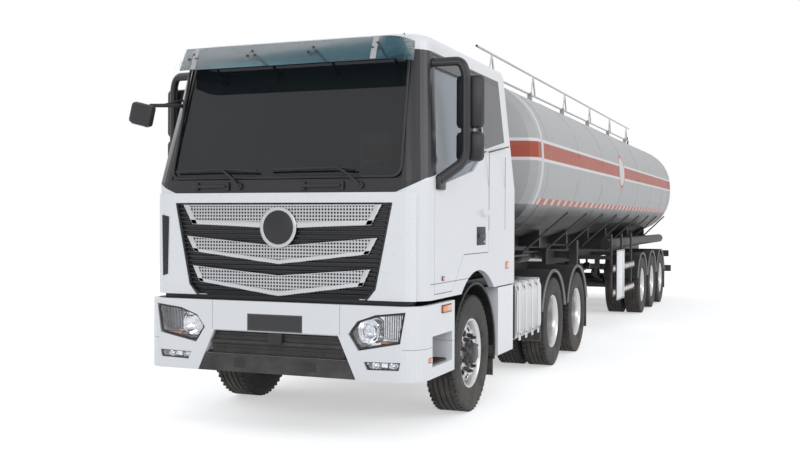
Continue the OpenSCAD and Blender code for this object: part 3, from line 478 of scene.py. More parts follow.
def tank_colours(tree):
    y, z, side = metres(tree)
    flank = all_of(tree, ramp(tree, side, 0.8, 0.82), between(tree, y, at(4.16), at(16.2)))
    edges = between(tree, z, STRIPE[0] - 0.035, STRIPE[1] + 0.035)
    colour = over(tree, edges, (0.4, 0.4, 0.405), (0.7, 0.7, 0.7))
    colour = over(tree, between(tree, z, *STRIPE), colour, (0.36, 0.05, 0.018))
    colour = over(tree, between(tree, y, at(4.02), at(4.12)), colour, (0.62, 0.62, 0.62))
    along = reckon(tree, "SUBTRACT", y, at(SIGN_AT))
    rise = reckon(tree, "SUBTRACT", z, SIGN_Z)
    flat = add_node(tree, "CombineXYZ", {0: along, 1: rise}).outputs[0]
    reach = add_node(tree, "VectorMath", {0: flat}, operation="LENGTH").outputs["Value"]
    disc = all_of(tree, between(tree, reach, -1.0, SIGN_RADIUS), flank)
    ring = all_of(tree, between(tree, reach, SIGN_RADIUS - 0.02, SIGN_RADIUS + 0.015), flank)
    colour = over(tree, disc, colour, (0.66, 0.66, 0.66))
    colour = over(tree, ring, colour, (0.5, 0.02, 0.02))
    saw = reckon(tree, "FRACT", reckon(tree, "MULTIPLY", y, 1 / DASH_STEP))
    row = all_of(tree, between(tree, z, *DASHES), flank)
    colour = over(tree, row, colour, (0.62, 0.6, 0.56))
    reds = all_of(tree, reckon(tree, "LESS_THAN", saw, 0.62), row)
    colour = over(tree, reds, colour, (0.5, 0.1, 0.06))
    # Painted shade: below the row of reflectors the tank turns dark grey, and from about 1.8 m down
    # near black.
    shade = ramp(tree, z, 2.2, 1.8, 0.0, 0.75, interpolation_type="SMOOTHSTEP")
    dark = ramp(tree, z, 1.9, 1.78, interpolation_type="SMOOTHSTEP")
    below = all_of(tree, shade, between(tree, z, 0.0, DASHES[0]))
    colour = over(tree, below, colour, (0.07, 0.07, 0.07))
    return over(tree, dark, colour, (0.012, 0.012, 0.013))


tank_paint = finish("tank paint", tank_colours, 0.46, coat=0.06, vary=0.05, dust=0.1, top=2.0,
                    scale=8, stretch=(1, 1, 0.3), grain=0.02, spread=0.12)
print("tank paint:", len(tank_paint.node_tree.nodes), "nodes")

# %% Finishes on the frame's solids
WEARS = {
    white_paint: ["front_panel"],
    white_plastic: ["side_steps"],
    black_plastic: ["bumper_valance", "dashboard", "drive_fenders", "trailer_fenders", "hose_tubes",
                    "side_guards"],
    chassis_paint: ["chassis_frame", "engine_block", "front_axle", "drive_axles", "springs",
                    "fifth_wheel", "trailer_frame", "trailer_axles", "landing_legs", "battery_box",
                    "knuckle_left", "knuckle_right", "rear_bumper"],
    satin_metal: ["handrail", "discharge_pipe"],
    tank_metal: ["fuel_tank"],
    tank_paint: ["tank"],
    screen_glass: ["windshield"],
    door_glass: ["left_door_glass", "right_door_glass"],
    seat_cloth: ["seats"],
}


def wear(material, names):
    for name in names:
        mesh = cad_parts[name].data
        mesh.materials.clear()
        mesh.materials.append(material)


for material, names in WEARS.items():
    wear(material, names)
print("nodes with a finish:", sum(len(names) for names in WEARS.values()))


# %% [markdown]
# The cab is white below the belt line and dark around the glass above it. One paint carries both, as
# a mask laid in the cab's own metres, so the edge runs on from the front into the doors without a
# step. The rear quarter behind the doors is a lighter grey panel.

# %% Cab paint with its dark window band
BODY_WHITE = (0.78, 0.79, 0.81)
HEADER = (3.02, 3.085)


def above_line(tree, y, z, side, station, height, slope):
    """1 above a line through (station, height) that climbs by slope and dips in the middle."""
    turn = ramp(tree, side, 1.0, 1.22, -0.09, 0.0)
    level = reckon(tree, "ADD", turn, height - slope * at(station))
    line = reckon(tree, "MULTIPLY_ADD", y, slope, level)
    return ramp(tree, reckon(tree, "SUBTRACT", z, line), -0.002, 0.002)


def cab_colours(tree):
    y, z, side = metres(tree)
    low = between(tree, z, 1.0, HEADER[1])
    belt = above_line(tree, y, z, side, 0.28, 2.055, 0.2)
    band = all_of(tree, belt, low, between(tree, y, at(-1), at(1.78)))
    flank = ramp(tree, side, 1.0, 1.01)
    sill = above_line(tree, y, z, side, 1.78, 2.37, 0.17)
    rear = all_of(tree, sill, low, between(tree, y, at(1.8), at(2.5)), flank)
    rail = all_of(tree, between(tree, z, *HEADER), flank, between(tree, y, at(0.3), at(2.5)))
    colour = over(tree, rear, BODY_WHITE, (0.045, 0.048, 0.058))
    colour = over(tree, rail, colour, (0.02, 0.02, 0.022))
    colour = over(tree, band, colour, (0.013, 0.013, 0.017))
    low_edge = between(tree, z, 1.206, 1.212, 0.001)
    seam = all_of(tree, low_edge, between(tree, y, at(0.25), at(1.62)))
    return over(tree, seam, colour, (0.05, 0.05, 0.05))


cab_paint = finish("cab paint", cab_colours, 0.32, coat=0.06, vary=0.02, dust=0.1, top=0.9, scale=20,
                   grain=0.003)
wear(cab_paint, ("cab_shell", "left_door", "right_door"))


def bumper_colours(tree):
    """White, with the blank black plate and the fine seams beside the lamps."""
    y, z, side = metres(tree)
    front = between(tree, y, at(-1), at(0.012))
    colour = BODY_WHITE
    plates = ((0.25, 0.812, 0.95, (0.05, 0.05, 0.05)), (0.24, 0.822, 0.94, (0.01, 0.01, 0.011)))
    for half, low, high, shade in plates:
        plate = all_of(tree, between(tree, side, -1, half), between(tree, z, low, high), front)
        colour = over(tree, plate, colour, shade)
    beside = between(tree, side, 0.575, 0.579, 0.001)
    seam = all_of(tree, beside, between(tree, z, 0.815, 1.05), front)
    line = all_of(tree, between(tree, z, 0.716, 0.72, 0.001), between(tree, side, 1.1, 1.3))
    colour = over(tree, seam, colour, (0.3, 0.3, 0.3))
    return over(tree, line, colour, (0.22, 0.22, 0.22))


bumper_paint = finish("bumper paint", bumper_colours, 0.3, coat=0.2, vary=0.02, dust=0.1, top=0.6,
                      scale=20, grain=0.003)
wear(bumper_paint, ["front_bumper"])
print("cab paint:", len(cab_paint.node_tree.nodes), "nodes")


# %% [markdown]
# # The face of the cab
# The grille is three swept bars of pierced sheet with a smooth lip, over dark slats. The holes are a
# pattern in the finish: a grid of cells, dark near the middle of each. Real holes by the thousand
# would cost far more faces than they are worth at this size.

# %% Pierced sheet
PIERCE_STEP = 0.027


def pierced(tree):
    split = add_node(tree, "SeparateXYZ", {0: spot_of(tree)}).outputs
    squares = []
    for axis in ("X", "Z"):
        part = reckon(tree, "FRACT", reckon(tree, "MULTIPLY", split[axis], 1 / PIERCE_STEP))
        squares.append(reckon(tree, "POWER", reckon(tree, "SUBTRACT", part, 0.5), 2.0))
    hole = ramp(tree, reckon(tree, "ADD", *squares), 0.095, 0.125, 1.0, 0.0)
    return over(tree, hole, (0.5, 0.51, 0.52), (0.006, 0.006, 0.007))


pierced_metal = finish("pierced sheet", pierced, 0.34, metal=0.55, coat=0.2, vary=0.04, scale=90,
                       grain=0.02)
print("pierced sheet: a hole every", PIERCE_STEP, "m")

# %% [markdown]
# Each bar is four points on one side of the middle. From them come the sheet itself, a lip below, a
# thin edge above and a cap at both ends, all as plates with slightly rounded edges.

# %% Grille bars
BARS = (
    ((0, 1.093), (0.745, 1.195), (0.81, 1.328), (0, 1.262)),
    ((0, 1.352), (0.795, 1.444), (0.868, 1.575), (0, 1.5)),
    ((0, 1.64), (0.815, 1.672), (0.905, 1.835), (0, 1.835)),
)
BAR_BACK = 0.094


def swept(low_in, low_out, high_out, high_in):
    """The outline on both sides of the middle."""
    left = [(-high_out[0], high_out[1]), (-low_out[0], low_out[1])]
    return left + [low_in, low_out, high_out, high_in]


def part_way(a, b, t):
    return tuple(p + (q - p) * t for p, q in zip(a, b))


bm = bmesh.new()
for a, b, c, d in BARS:
    lip = swept(a, b, part_way(b, c, 0.26), part_way(a, d, 0.26))
    edge = swept(part_way(a, d, 0.93), part_way(b, c, 0.93), c, d)
    prism(bm, swept(a, b, c, d), 0.068, BAR_BACK, 0.004, 0)
    prism(bm, lip, 0.061, BAR_BACK, 0.004, 1)
    prism(bm, edge, 0.064, BAR_BACK, 0.003, 1)
    for side in (-1, 1):
        end = [part_way(a, b, 0.935), b, c, part_way(d, c, 0.935)]
        prism(bm, [(side * x, z) for x, z in end], 0.061, BAR_BACK, 0.003, 1)
piece(bm, "grille_bars_detail", "cab", [pierced_metal, satin_metal],
      replaces=["grille_bars"])


def panel_half(z):
    """Half the width of the grille opening at a height."""
    return 0.77 + (z - 1.09) if z < 1.165 else 0.845 + (z - 1.165) * 0.2044


bm = bmesh.new()
rim = [(-0.98, 1.845), (-0.842, 1.17), (-0.762, 1.092), (0.762, 1.092), (0.842, 1.17), (0.98, 1.845)]
prism(bm, rim, 0.0965, 0.0985, 0.0005)
z = 1.11
while z < 1.84:
    half = panel_half(z) - 0.02
    box(bm, (-half, half), (0.083, 0.0975), (z, z + 0.016), 0.003, 0, ("X", 22, (0, at(0.09), z)))
    z += 0.036
for a, b in zip(rim, rim[1:]):
    if a[1] != b[1]:
        rod(bm, [(a[0], at(0.078), a[1]), (b[0], at(0.078), b[1])], 0.009, 10)
box(bm, (-1.12, 1.12), (0.12, 0.2), (1.0, 1.112), 0.006)
piece(bm, "grille_slats", "cab", [charcoal])

# %% [markdown]
# A maker's sign would sit in the middle of the grille. Here it is a bare disc in a ring, turned from
# one outline. The narrow louver beside the grille is on the vehicle's right only.

# %% Plain disc in a ring, and the corner louvers
bm = bmesh.new()
ring = [(0.06, 0), (0.06, 0.165), (0.052, 0.166), (0.0465, 0.158), (0.0465, 0.142), (0.052, 0.136)]
disc = [(0.053, 0.136), (0.049, 0.128), (0.0485, 0.0)]
for mat, outline in ((1, ring), (0, disc)):
    turned(bm, [(at(s), r) for s, r in outline], (0, 0, 1.65), "y", 64, mat)
piece(bm, "grille_disc", "cab", [charcoal, satin_metal], 30)

bm = bmesh.new()
back = [(-1.115, 1.235), (-1.058, 1.25), (-1.048, 1.735), (-1.125, 1.75)]
prism(bm, back, 0.074, 0.08, 0.001)
for k in range(15):
    z = 1.262 + k * 0.0315
    tilt = ("X", 20, (-1.1, at(0.075), z))
    box(bm, (-1.113, -1.064), (0.0728, 0.078), (z, z + 0.011), 0.002, 0, tilt)
rod(bm, [(-1.058, at(0.0745), 1.25), (-1.048, at(0.0745), 1.735)], 0.005, 8, 1)
piece(bm, "corner_louvers", "cab", [charcoal, satin_metal])

# %% [markdown]
# A wiper is a motor cap, a bent arm and a blade, and a grab handle is a bar with two rounded bends.
# All of them are rods along a few points, which is the quickest way to make bent bars.

# %% Wipers and grab handles
WIPERS = (
    (0.71, (0.5, 2.135), (0.86, 2.112), (-0.1, 2.118)),
    (-0.38, (-0.56, 2.13), (-0.22, 2.108), (-1.0, 2.112)),
)
HANDLE_Z = 1.985
bm = bmesh.new()
for x, elbow, tip, end in WIPERS:
    cap(bm, 0.0, 0.03, 0.026, 0.03, (x, at(0.075), HANDLE_Z), "y", 20)
    knee = (x * 0.55 + elbow[0] * 0.45, at(0.066), 2.07)
    rod(bm, [(x, at(0.072), HANDLE_Z), knee, (elbow[0], at(0.085), elbow[1])], 0.011, 10)
    start = tip[0] if x < 0 else elbow[0] + 0.16
    blade = [(start, 0.093, tip[1]), (elbow[0], 0.091, elbow[1] - 0.01), (end[0], 0.096, end[1])]
    rod(bm, [(x, at(s), z) for x, s, z in blade], 0.008, 8, 0, 1.6)
for ends in ((-0.8, -0.505), (0.2, 0.54)):
    path = [(ends[0], 0.098), (ends[0], 0.052), (ends[1], 0.052), (ends[1], 0.098)]
    rod(bm, fillet([(x, at(s), HANDLE_Z) for x, s in path], 0.03), 0.012)
    for x in ends:
        box(bm, (x - 0.028, x + 0.028), (0.078, 0.099), (HANDLE_Z - 0.035, HANDLE_Z + 0.035), 0.008)
piece(bm, "wipers_and_handles", "cab", [black_plastic])

# %% [markdown]
# A rubber lip runs round the windshield. It follows the lean of the cab's face, so its stations come
# from one small function. Above it lie the header with four bolts and the stub of an aerial.

# %% Screen rubber and header
def lean(z):
    """Station of the cab's face at a height."""
    return 0.1 + max(0.0, z - 2.02) * 0.248


bm = bmesh.new()
corners = [(-1.045, 2.055), (1.045, 2.055), (1.018, 3.065), (-1.018, 3.065)]
path = [(x, at(lean(z) - 0.006), z) for x, z in corners]
rod(bm, fillet(path[2:] + path[:3], 0.09), 0.011, 10)
box(bm, (-1.04, 1.04), (0.318, 0.352), (3.045, 3.095), 0.008, 1, ("X", -14, (0, at(0.335), 3.07)))
bolt = [(0.0, 0.0), (0.0, 0.014), (0.012, 0.014), (0.02, 0)]
for x in (-0.78, -0.26, 0.26, 0.78):
    turned(bm, bolt, (x, at(0.308), 3.07), "y", 16)
rod(bm, [(0.93, at(0.46), 3.215), (0.93, at(0.455), 3.226)], 0.006, 8)
piece(bm, "screen_rubber", "cab", [black_plastic, charcoal])


# %% [markdown]
# The sun visor is a bent sheet. It is made as a grid of points from one formula, and then given a
# thickness. Two white strips lie on it, and eight short stays carry it.

# %% Visor
def thicken(bm, faces, thick, mat):
    made = bmesh.ops.solidify(bm, geom=faces, thickness=thick)["geom"]
    tag([g for g in made if isinstance(g, bmesh.types.BMVert)], mat)


def sheet(bm, point, across, up, thick):
    """A curved sheet through the places that point(u, v) gives for u and v from 0 to 1."""
    rows = [
        [bm.verts.new(point(i / across, j / up)) for i in range(across + 1)] for j in range(up + 1)
    ]
    faces = []
    for a, b in zip(rows, rows[1:]):
        for i in range(across):
            faces.append(bm.faces.new((a[i], a[i + 1], b[i + 1], b[i])))
    thicken(bm, faces, thick, 0)


def visor_point(u, v):
    side = 2 * u - 1
    wrap = max(0.0, abs(side) - 0.8) / 0.2
    x = 1.105 * side - 0.02 * (1 if side > 0 else -1) * wrap * v
    z = 2.962 + 0.195 * v + 0.01 * math.sin(math.pi * v) - 0.03 * wrap**3 * v
    return (x, at(0.066 + 0.085 * v + 0.15 * wrap**2.2), z)


def strip(side):
    """A narrow strip up the visor, 3 mm in front of it."""
    def point(u, v):
        x, y, z = visor_point(0.5 + side * (0.36 + 0.022 * u), 0.03 + 0.94 * v)
        return (x, y - 0.003, z)

    return point


bm = bmesh.new()
sheet(bm, visor_point, 72, 10, -0.005)
piece(bm, "visor_blade", "cab", [visor_glass], replaces=["sun_visor"])

bm = bmesh.new()
for side in (-1, 1):
    sheet(bm, strip(side), 2, 8, 0.002)
for x in (-0.84, -0.28, 0.28, 0.84):
    rod(bm, [(x, at(0.118), 3.1), (x, at(0.2), 3.075), (x, at(0.345), 3.085)], 0.011, 10, 1)
    for dx in (-0.035, 0.035):
        rod(bm, [(x, at(0.14), 3.09), (x + dx, at(0.112), 3.055)], 0.007, 8, 1)
        cap(bm, 0.0, 0.014, 0.015, 0.012, (x + dx, at(0.1), 3.055), "y", 14, 1)
for side in (-1, 1):
    rod(bm, [(side * 1.07, at(0.2), 3.0), (side * 1.05, at(0.33), 3.03)], 0.012, 10, 1)
piece(bm, "visor_mounts", "cab", [white_plastic, black_plastic])


# %% [markdown]
# # Lamps and bumper
# Each headlamp is a dark pan with a bowl, a fluted reflector and a small indicator behind one clear
# cover. The cover stands a little inside the bumper's skin. One side is made and then mirrored.

# %% Lamp units
LAMP = ((0.735, 0.697), (0.65, 0.825), (0.725, 0.925), (0.88, 0.98), (1.125, 1.008), (1.085, 0.765))
FOG = ((0.81, 0.553), (0.782, 0.615), (1.087, 0.622), (1.074, 0.56))
BOWL = ((0.115, 0), (0.112, 0.03), (0.095, 0.062), (0.058, 0.082), (0.052, 0.088), (0.06, 0.093))
BULB = ((0.112, 0.0), (0.072, 0.022), (0.062, 0.02), (0.056, 0))


def inset(outline, step):
    """The outline pulled towards its middle."""
    cx = sum(p[0] for p in outline) / len(outline)
    cz = sum(p[1] for p in outline) / len(outline)
    return [(x - step * (x - cx) / 0.2, z - step * (z - cz) / 0.13) for x, z in outline]


def ring_of(bm, outline, r):
    path = [(x, at(0.02), z) for x, z in outline + outline[:2]]
    rod(bm, fillet(path, 0.03, 4), r, 8)


bm = bmesh.new()
prism(bm, inset(LAMP, 0.006), 0.118, 0.124, 0.001, 1)
prism(bm, inset(FOG, 0.004), 0.098, 0.104, 0.001, 1)
ring_of(bm, inset(LAMP, 0.01), 0.009)
ring_of(bm, inset(FOG, 0.006), 0.007)
for outline, steps, mat in ((BOWL, 40, 1), (BULB, 24, 2)):
    turned(bm, [(at(s), r) for s, r in outline], (0.805, 0, 0.845), "y", steps, mat)
for k in range(13):
    x = 0.912 + k * 0.0135
    top = 0.955 + (x - 0.912) * 0.13
    box(bm, (x, x + 0.0105), (0.082, 0.118), (0.795, top), 0.003, 1, ("Z", 16, (x, at(0.1), 0.87)))
box(bm, (0.9, 1.065), (0.055, 0.115), (0.752, 0.782), 0.008, 3)
box(bm, (0.742, 0.875), (0.07, 0.115), (0.712, 0.738), 0.008, 1)
for x, r in ((0.865, 0.026), (1.0, 0.022)):
    cup = [(at(0.095), 0), (at(0.085), r * 0.7), (at(0.055), r), (at(0.05), r + 0.003)]
    turned(bm, cup, (x, 0, 0.588), "y", 28, 1)
box(bm, (0.905, 0.965), (0.06, 0.095), (0.566, 0.609), 0.006, 1)
mirrored(bm)
piece(bm, "lamp_insides", "tractor", [black_plastic, mirror_metal, lens_glass, orange_lens],
      replaces=["headlights"])

bm = bmesh.new()
for outline, step in ((LAMP, 0.009), (FOG, 0.006)):
    prism(bm, inset(outline, step), 0.022, 0.026, 0.001)
mirrored(bm)
piece(bm, "lamp_covers", "tractor", [lens_glass])

# %% [markdown]
# Between the lamps lie the ribs of the dark intake, two covers over the towing eyes and the bright
# lines round it. The steps beside the wheels get rows of small cleats that stop a boot from sliding.

# %% Bumper middle and step treads
bm = bmesh.new()
for z in (0.655, 0.68, 0.758, 0.782):
    box(bm, (-0.57, 0.57), (0.03, 0.041), (z, z + 0.007), 0.002)
for x in (-0.32, 0.32):
    box(bm, (x - 0.06, x + 0.06), (0.0035, 0.012), (0.5, 0.59), 0.006, 2)
rod(bm, [(-0.66, at(0.01), 0.612), (0.66, at(0.01), 0.612)], 0.005, 8, 1)
rod(bm, [(-0.56, at(0.004), 0.806), (0.56, at(0.004), 0.806)], 0.003, 8, 1)
box(bm, (-0.055, 0.055), (0.0045, 0.014), (0.715, 0.802), 0.005, 2)
piece(bm, "bumper_middle", "tractor", [black_plastic, satin_metal, charcoal])

bm = bmesh.new()
for z in (0.563, 0.8):
    box(bm, (1.03, 1.205), (0.31, 0.745), (z, z + 0.012), 0.003)
    for k in range(14):
        s = 0.325 + k * 0.03
        box(bm, (1.045, 1.195), (s, s + 0.01), (z + 0.012, z + 0.018), 0.002)
mirrored(bm)
piece(bm, "step_treads", "tractor", [black_plastic])


# %% [markdown]
# # Mirrors and the sides of the cab
# A mirror arm leaves the door's header, drops past the window and comes back to the belt line. Its
# heads sit behind it. The pieces ride on the door, so they swing with it.

# %% Door mirrors
SIDES = ((1, "left"), (-1, "right"))


def door_mirror(bm):
    arm = [(1.1, 0.57, 2.995), (1.36, 0.63, 3.005), (1.4, 0.64, 2.9), (1.4, 0.64, 2.25),
           (1.375, 0.6, 2.17), (1.25, 0.41, 2.03)]
    rod(bm, fillet([(x, at(s), z) for x, s, z in arm], 0.1, 8), 0.044, 18, 0, 0.75)
    post = [(1.36, at(0.64), 3.004), (1.375, at(0.64), 2.97), (1.375, at(0.64), 2.2)]
    rod(bm, fillet(post, 0.05), 0.018, 10, 1)
    box(bm, (1.236, 1.275), (0.35, 0.52), (1.955, 2.065), 0.014)
    box(bm, (1.07, 1.13), (0.52, 0.62), (2.955, 3.035), 0.012, 1)
    for low, high in ((2.465, 2.905), (2.195, 2.44)):
        box(bm, (1.285, 1.52), (0.695, 0.792), (low, high), 0.04)
        box(bm, (1.303, 1.502), (0.785, 0.797), (low + 0.02, high - 0.02), 0.01, 1)
        box(bm, (1.31, 1.495), (0.796, 0.7995), (low + 0.028, high - 0.028), 0.0012, 2)
    for z in (2.345, 2.655):
        box(bm, (1.378, 1.422), (0.64, 0.705), (z - 0.03, z + 0.03), 0.012, 1)
    box(bm, (1.378, 1.422), (0.715, 0.77), (2.43, 2.475), 0.006, 1)


for side, word in SIDES:
    bm = bmesh.new()
    door_mirror(bm)
    if side < 0:
        flip(bm, bm.verts, bm.faces[:])
    piece(bm, word + "_mirror_detail", word + "_door", [charcoal, black_plastic, mirror_metal],
          replaces=[word + "_mirror"])

bm = bmesh.new()
stay = [(-1.05, at(0.385), 2.7), (-1.13, at(0.22), 2.695), (-1.27, at(0.095), 2.685)]
rod(bm, fillet(stay, 0.08), 0.017)
rod(bm, [(-1.1, at(0.37), 2.76), (-1.17, at(0.18), 2.7)], 0.01, 10)
tilt = ("Y", 14, (-1.33, at(0.07), 2.61))
box(bm, (-1.445, -1.215), (0.035, 0.112), (2.515, 2.705), 0.034, 0, tilt)
box(bm, (-1.425, -1.235), (0.108, 0.1145), (2.53, 2.69), 0.006, 1, tilt)
box(bm, (-1.405, -1.255), (0.05, 0.1), (2.512, 2.52), 0.003, 1, tilt)
piece(bm, "front_mirror_detail", "cab", [black_plastic, mirror_metal],
      replaces=["front_mirror"])

# %% [markdown]
# The handle lies in a dark recess with a lock under it, and a rubber strip closes the window below.
# These are shallow boxes that stand a few millimetres proud of the door's skin.

# %% Door handle, window rubber and step light
for side, word in SIDES:
    bm = bmesh.new()
    box(bm, (1.2425, 1.2495), (1.44, 1.7), (1.49, 1.655), 0.003)
    box(bm, (1.249, 1.262), (1.47, 1.67), (1.555, 1.595), 0.006, 1)
    lock = [(1.249, 0), (1.2545, 0), (1.2545, 0.01), (1.249, 0.012)]
    turned(bm, lock, (0, at(1.655), 1.52), "x", 18, 2)
    box(bm, (1.2435, 1.2535), (0.5, 0.56), (1.225, 1.262), 0.005, 3)
    rod(bm, [(1.2465, at(0.36), 2.005), (1.2465, at(1.7), 2.343)], 0.006, 8)
    if side < 0:
        flip(bm, bm.verts, bm.faces[:])
    finishes = [black_plastic, charcoal, satin_metal, orange_lens]
    piece(bm, word + "_door_fittings", word + "_door", finishes)

# %% [markdown]
# Small orange lamps mark the vehicle's side on the cab and on the bumper, as the law asks of a long
# vehicle. The cab's rear quarter has two thin seams and a sill.

# %% Side lamps and seams
bm = bmesh.new()
box(bm, (1.2435, 1.25), (2.385, 2.5), (1.24, 1.31), 0.005, 1)
box(bm, (1.244, 1.2475), (1.8, 2.5), (2.335, 2.349), 0.002, 0, ("X", 8, (1.245, at(1.8), 2.34)))
for s in (1.815, 2.36):
    box(bm, (1.243, 1.2465), (s, s + 0.006), (1.62, 2.33), 0.001)
mirrored(bm)
piece(bm, "cab_side_lamps", "cab", [charcoal, orange_lens])

bm = bmesh.new()
box(bm, (1.2435, 1.256), (0.5, 0.74), (0.965, 1.03), 0.008, 1)
box(bm, (1.2435, 1.248), (0.2, 0.29), (0.6, 0.64), 0.004, 1)
mirrored(bm)
piece(bm, "bumper_side_lamps", "tractor", [black_plastic, orange_lens])

# %% [markdown]
# A liner bends over the front wheel with a rolled lip, and a ribbed flap hangs behind it. The liner
# is the visor's kind of sheet, bent round the axle.

# %% Arch liners and flaps of the front wheels
AXLE_Z = 0.522
FRONT_AXLE, DRIVE_AXLES, TRAILER_AXLES = 1.5, (4.6, 5.95), (11.93, 13.24, 14.55)
ARCH_RADIUS = 0.625


def arch(u, v):
    turn = math.radians(-12 + 204 * u)
    y = at(FRONT_AXLE) - ARCH_RADIUS * math.cos(turn)
    return (0.8 + 0.41 * v, y, AXLE_Z + ARCH_RADIUS * math.sin(turn))


bm = bmesh.new()
sheet(bm, arch, 40, 2, -0.006)
rod(bm, [arch(i / 40, 1.0) for i in range(41)], 0.011, 8)
box(bm, (0.82, 1.2), (2.115, 2.124), (0.235, 0.52), 0.003, 1)
for x in (0.83, 0.96, 1.08, 1.18):
    box(bm, (x - 0.006, x + 0.006), (2.122, 2.13), (0.245, 0.5), 0.002, 1)
mirrored(bm)
piece(bm, "front_arch_liners", "tractor", [black_plastic, rubber])


# %% [markdown]
# # Wheels
# A tyre is one outline turned about its axle, with grooves round the tread and a ring of lugs on
# each shoulder.

# %% Tyre
SIDEWALL = [(0.112, 0.3), (0.128, 0.318), (0.14, 0.352), (0.1455, 0.402), (0.1455, 0.432),
            (0.1425, 0.436), (0.1425, 0.446), (0.144, 0.45), (0.138, 0.488), (0.13, 0.503),
            (0.122, 0.507)]
GROOVE_WALLS = ((0.006, 0.521), (0.005, 0.507), (-0.005, 0.507), (-0.006, 0.521))
LUGS = 52


def tyre_shape(bm, x, place):
    """A tyre of 292 mm about the plane x."""
    side = list(SIDEWALL)
    for groove in (0.075, 0.026):
        side += [(groove + step, r) for step, r in GROOVE_WALLS]
    outline = [(-a, r) for a, r in side] + [(a, r) for a, r in reversed(side)]
    turned(bm, [(x + a, r) for a, r in outline + outline[:1]], (0, *place), "x", 96)
    s, low, high = place[0] + LENGTH / 2, place[1] + 0.499, place[1] + 0.5215
    for k in range(LUGS):
        turn = ("X", k * 360 / LUGS, (0, *place))
        for inner, outer in ((-0.129, -0.088), (0.088, 0.129)):
            box(bm, (x + inner, x + outer), (s - 0.0115, s + 0.0115), (low, high), 0.0, 0, turn)


print("lugs on one tyre:", 2 * LUGS)

# %% [markdown]
# A rim's disc is a fan of faces. Two of its rings draw apart into an oval wherever there is a hand
# hole, and the faces between them are left out. That gives real holes with clean edges, without
# cutting one mesh with another.

# %% Rim disc with oval hand holes
HAND_HOLES, FACES_PER_HOLE, HOLE_FACES = 10, 12, 8


def holed_disc(bm, place, stations, hole):
    """stations are (x, radius) from the middle out; hole is (middle radius, half height)."""
    steps = HAND_HOLES * FACES_PER_HOLE
    rings = []
    middle, high = hole
    for index, (x, r) in enumerate(stations):
        ring = []
        for k in range(steps):
            turn = 2 * math.pi * k / steps
            t = ((k % FACES_PER_HOLE) - 4.0) / 4.0
            open_by = high * math.sqrt(max(0.0, 1 - t * t)) + 0.0012
            radius = {1: middle - open_by, 2: middle + open_by}.get(index, r)
            y, z = place[0] + radius * math.cos(turn), place[1] + radius * math.sin(turn)
            ring.append(bm.verts.new((x, y, z)))
        rings.append(ring)
    faces = []
    for index, (a, b) in enumerate(zip(rings, rings[1:])):
        for k in range(steps):
            if index != 1 or k % FACES_PER_HOLE >= HOLE_FACES:
                j = (k + 1) % steps
                faces.append(bm.faces.new((a[k], a[j], b[j], b[k])))
    bmesh.ops.recalc_face_normals(bm, faces=faces)
    tag([v for ring in rings for v in ring], 1)
    thicken(bm, faces, 0.009, 1)


def wheel_nuts(bm, place, x, radius):
    for y, z in around(place, radius, 10, 0.5):
        base = [(x, 0.0), (x, 0.021), (x + 0.006, 0.021), (x + 0.007, 0.0165)]
        turned(bm, base, (0, y, z), "x", 12, 2)
        nut = [(x + 0.007, 0.0165), (x + 0.032, 0.0155), (x + 0.04, 0.008), (x + 0.04, 0)]
        turned(bm, nut, (0, y, z), "x", 6, 2)


def hub_bolts(bm, place, x, radius):
    for y, z in around(place, radius, 8):
        cap(bm, x, x + 0.014, 0.009, 0.008, (0, y, z), "x", 6, 2)


def barrel(bm, x, place, inner):
    """The outer half of a rim from its lip in to the plane inner."""
    lip = [(0.1, 0.3005), (0.117, 0.314), (0.121, 0.308), (0.1205, 0.297), (0.112, 0.287),
           (0.085, 0.276), (0.05, 0.27)]
    outline = [(x + a, r) for a, r in lip] + [(inner + 0.02, 0.266), (inner, 0.256)]
    turned(bm, outline, (0, *place), "x", 72, 1)


print("hand holes in one rim:", HAND_HOLES)

# %% [markdown]
# A steered wheel's disc bulges out and shows its hub cap. A twin wheel's disc sits deep between two
# tyres, and the end of the drive shaft reaches out through it.

# %% Steered and twin wheels
def steered_wheel(bm, place):
    x, centre = 1.055, (0, *place)
    tyre_shape(bm, x, place)
    barrel(bm, x, place, x + 0.045)
    disc = [(x + 0.099, 0.12), (x + 0.097, 0), (x + 0.09, 0), (x + 0.06, 0.262)]
    holed_disc(bm, place, disc, (0.213, 0.0245))
    turned(bm, [(x - 0.11, 0.18), (x + 0.04, 0.19), (x + 0.05, 0.1)], centre, "x", 32, 3)
    wheel_nuts(bm, place, x + 0.102, 0.16)
    hub = [(0.095, 0.128), (0.118, 0.12), (0.128, 0.098), (0.158, 0.088), (0.168, 0.07), (0.17, 0.0)]
    turned(bm, [(x + a, r) for a, r in hub], centre, "x", 40, 2)
    hub_bolts(bm, place, x + 0.12, 0.105)


def twin_wheel(bm, place):
    centre = (0, *place)
    for x in (0.747, 1.083):
        tyre_shape(bm, x, place)
    barrel(bm, 1.083, place, 0.945)
    inner_rim = [(0.645, 0.262), (0.632, 0.3), (0.64, 0.31), (0.66, 0.29), (0.9, 0.262)]
    turned(bm, inner_rim, centre, "x", 48, 3)
    holed_disc(bm, place, [(0.952, 0.15), (0.95, 0), (0.944, 0), (0.93, 0.262)], (0.214, 0.024))
    turned(bm, [(0.7, 0.2), (0.9, 0.2), (0.92, 0.15)], centre, "x", 32, 3)
    wheel_nuts(bm, place, 0.953, 0.17)
    turned(bm, [(0.948, 0.15), (1.02, 0.128), (1.075, 0.122), (1.085, 0.112)], centre, "x", 40, 2)
    flange = [(1.085, 0.112), (1.092, 0.118), (1.112, 0.112), (1.13, 0.08), (1.138, 0.0)]
    turned(bm, flange, centre, "x", 40, 2)
    hub_bolts(bm, place, 1.112, 0.098)


def wheel(shape, station, side, name, body, replaced):
    bm = bmesh.new()
    shape(bm, (at(station), AXLE_Z))
    if side < 0:
        flip(bm, bm.verts, bm.faces[:])
    piece(bm, name, body, [rubber, polished, dark_metal, chassis_paint], 30, replaced)


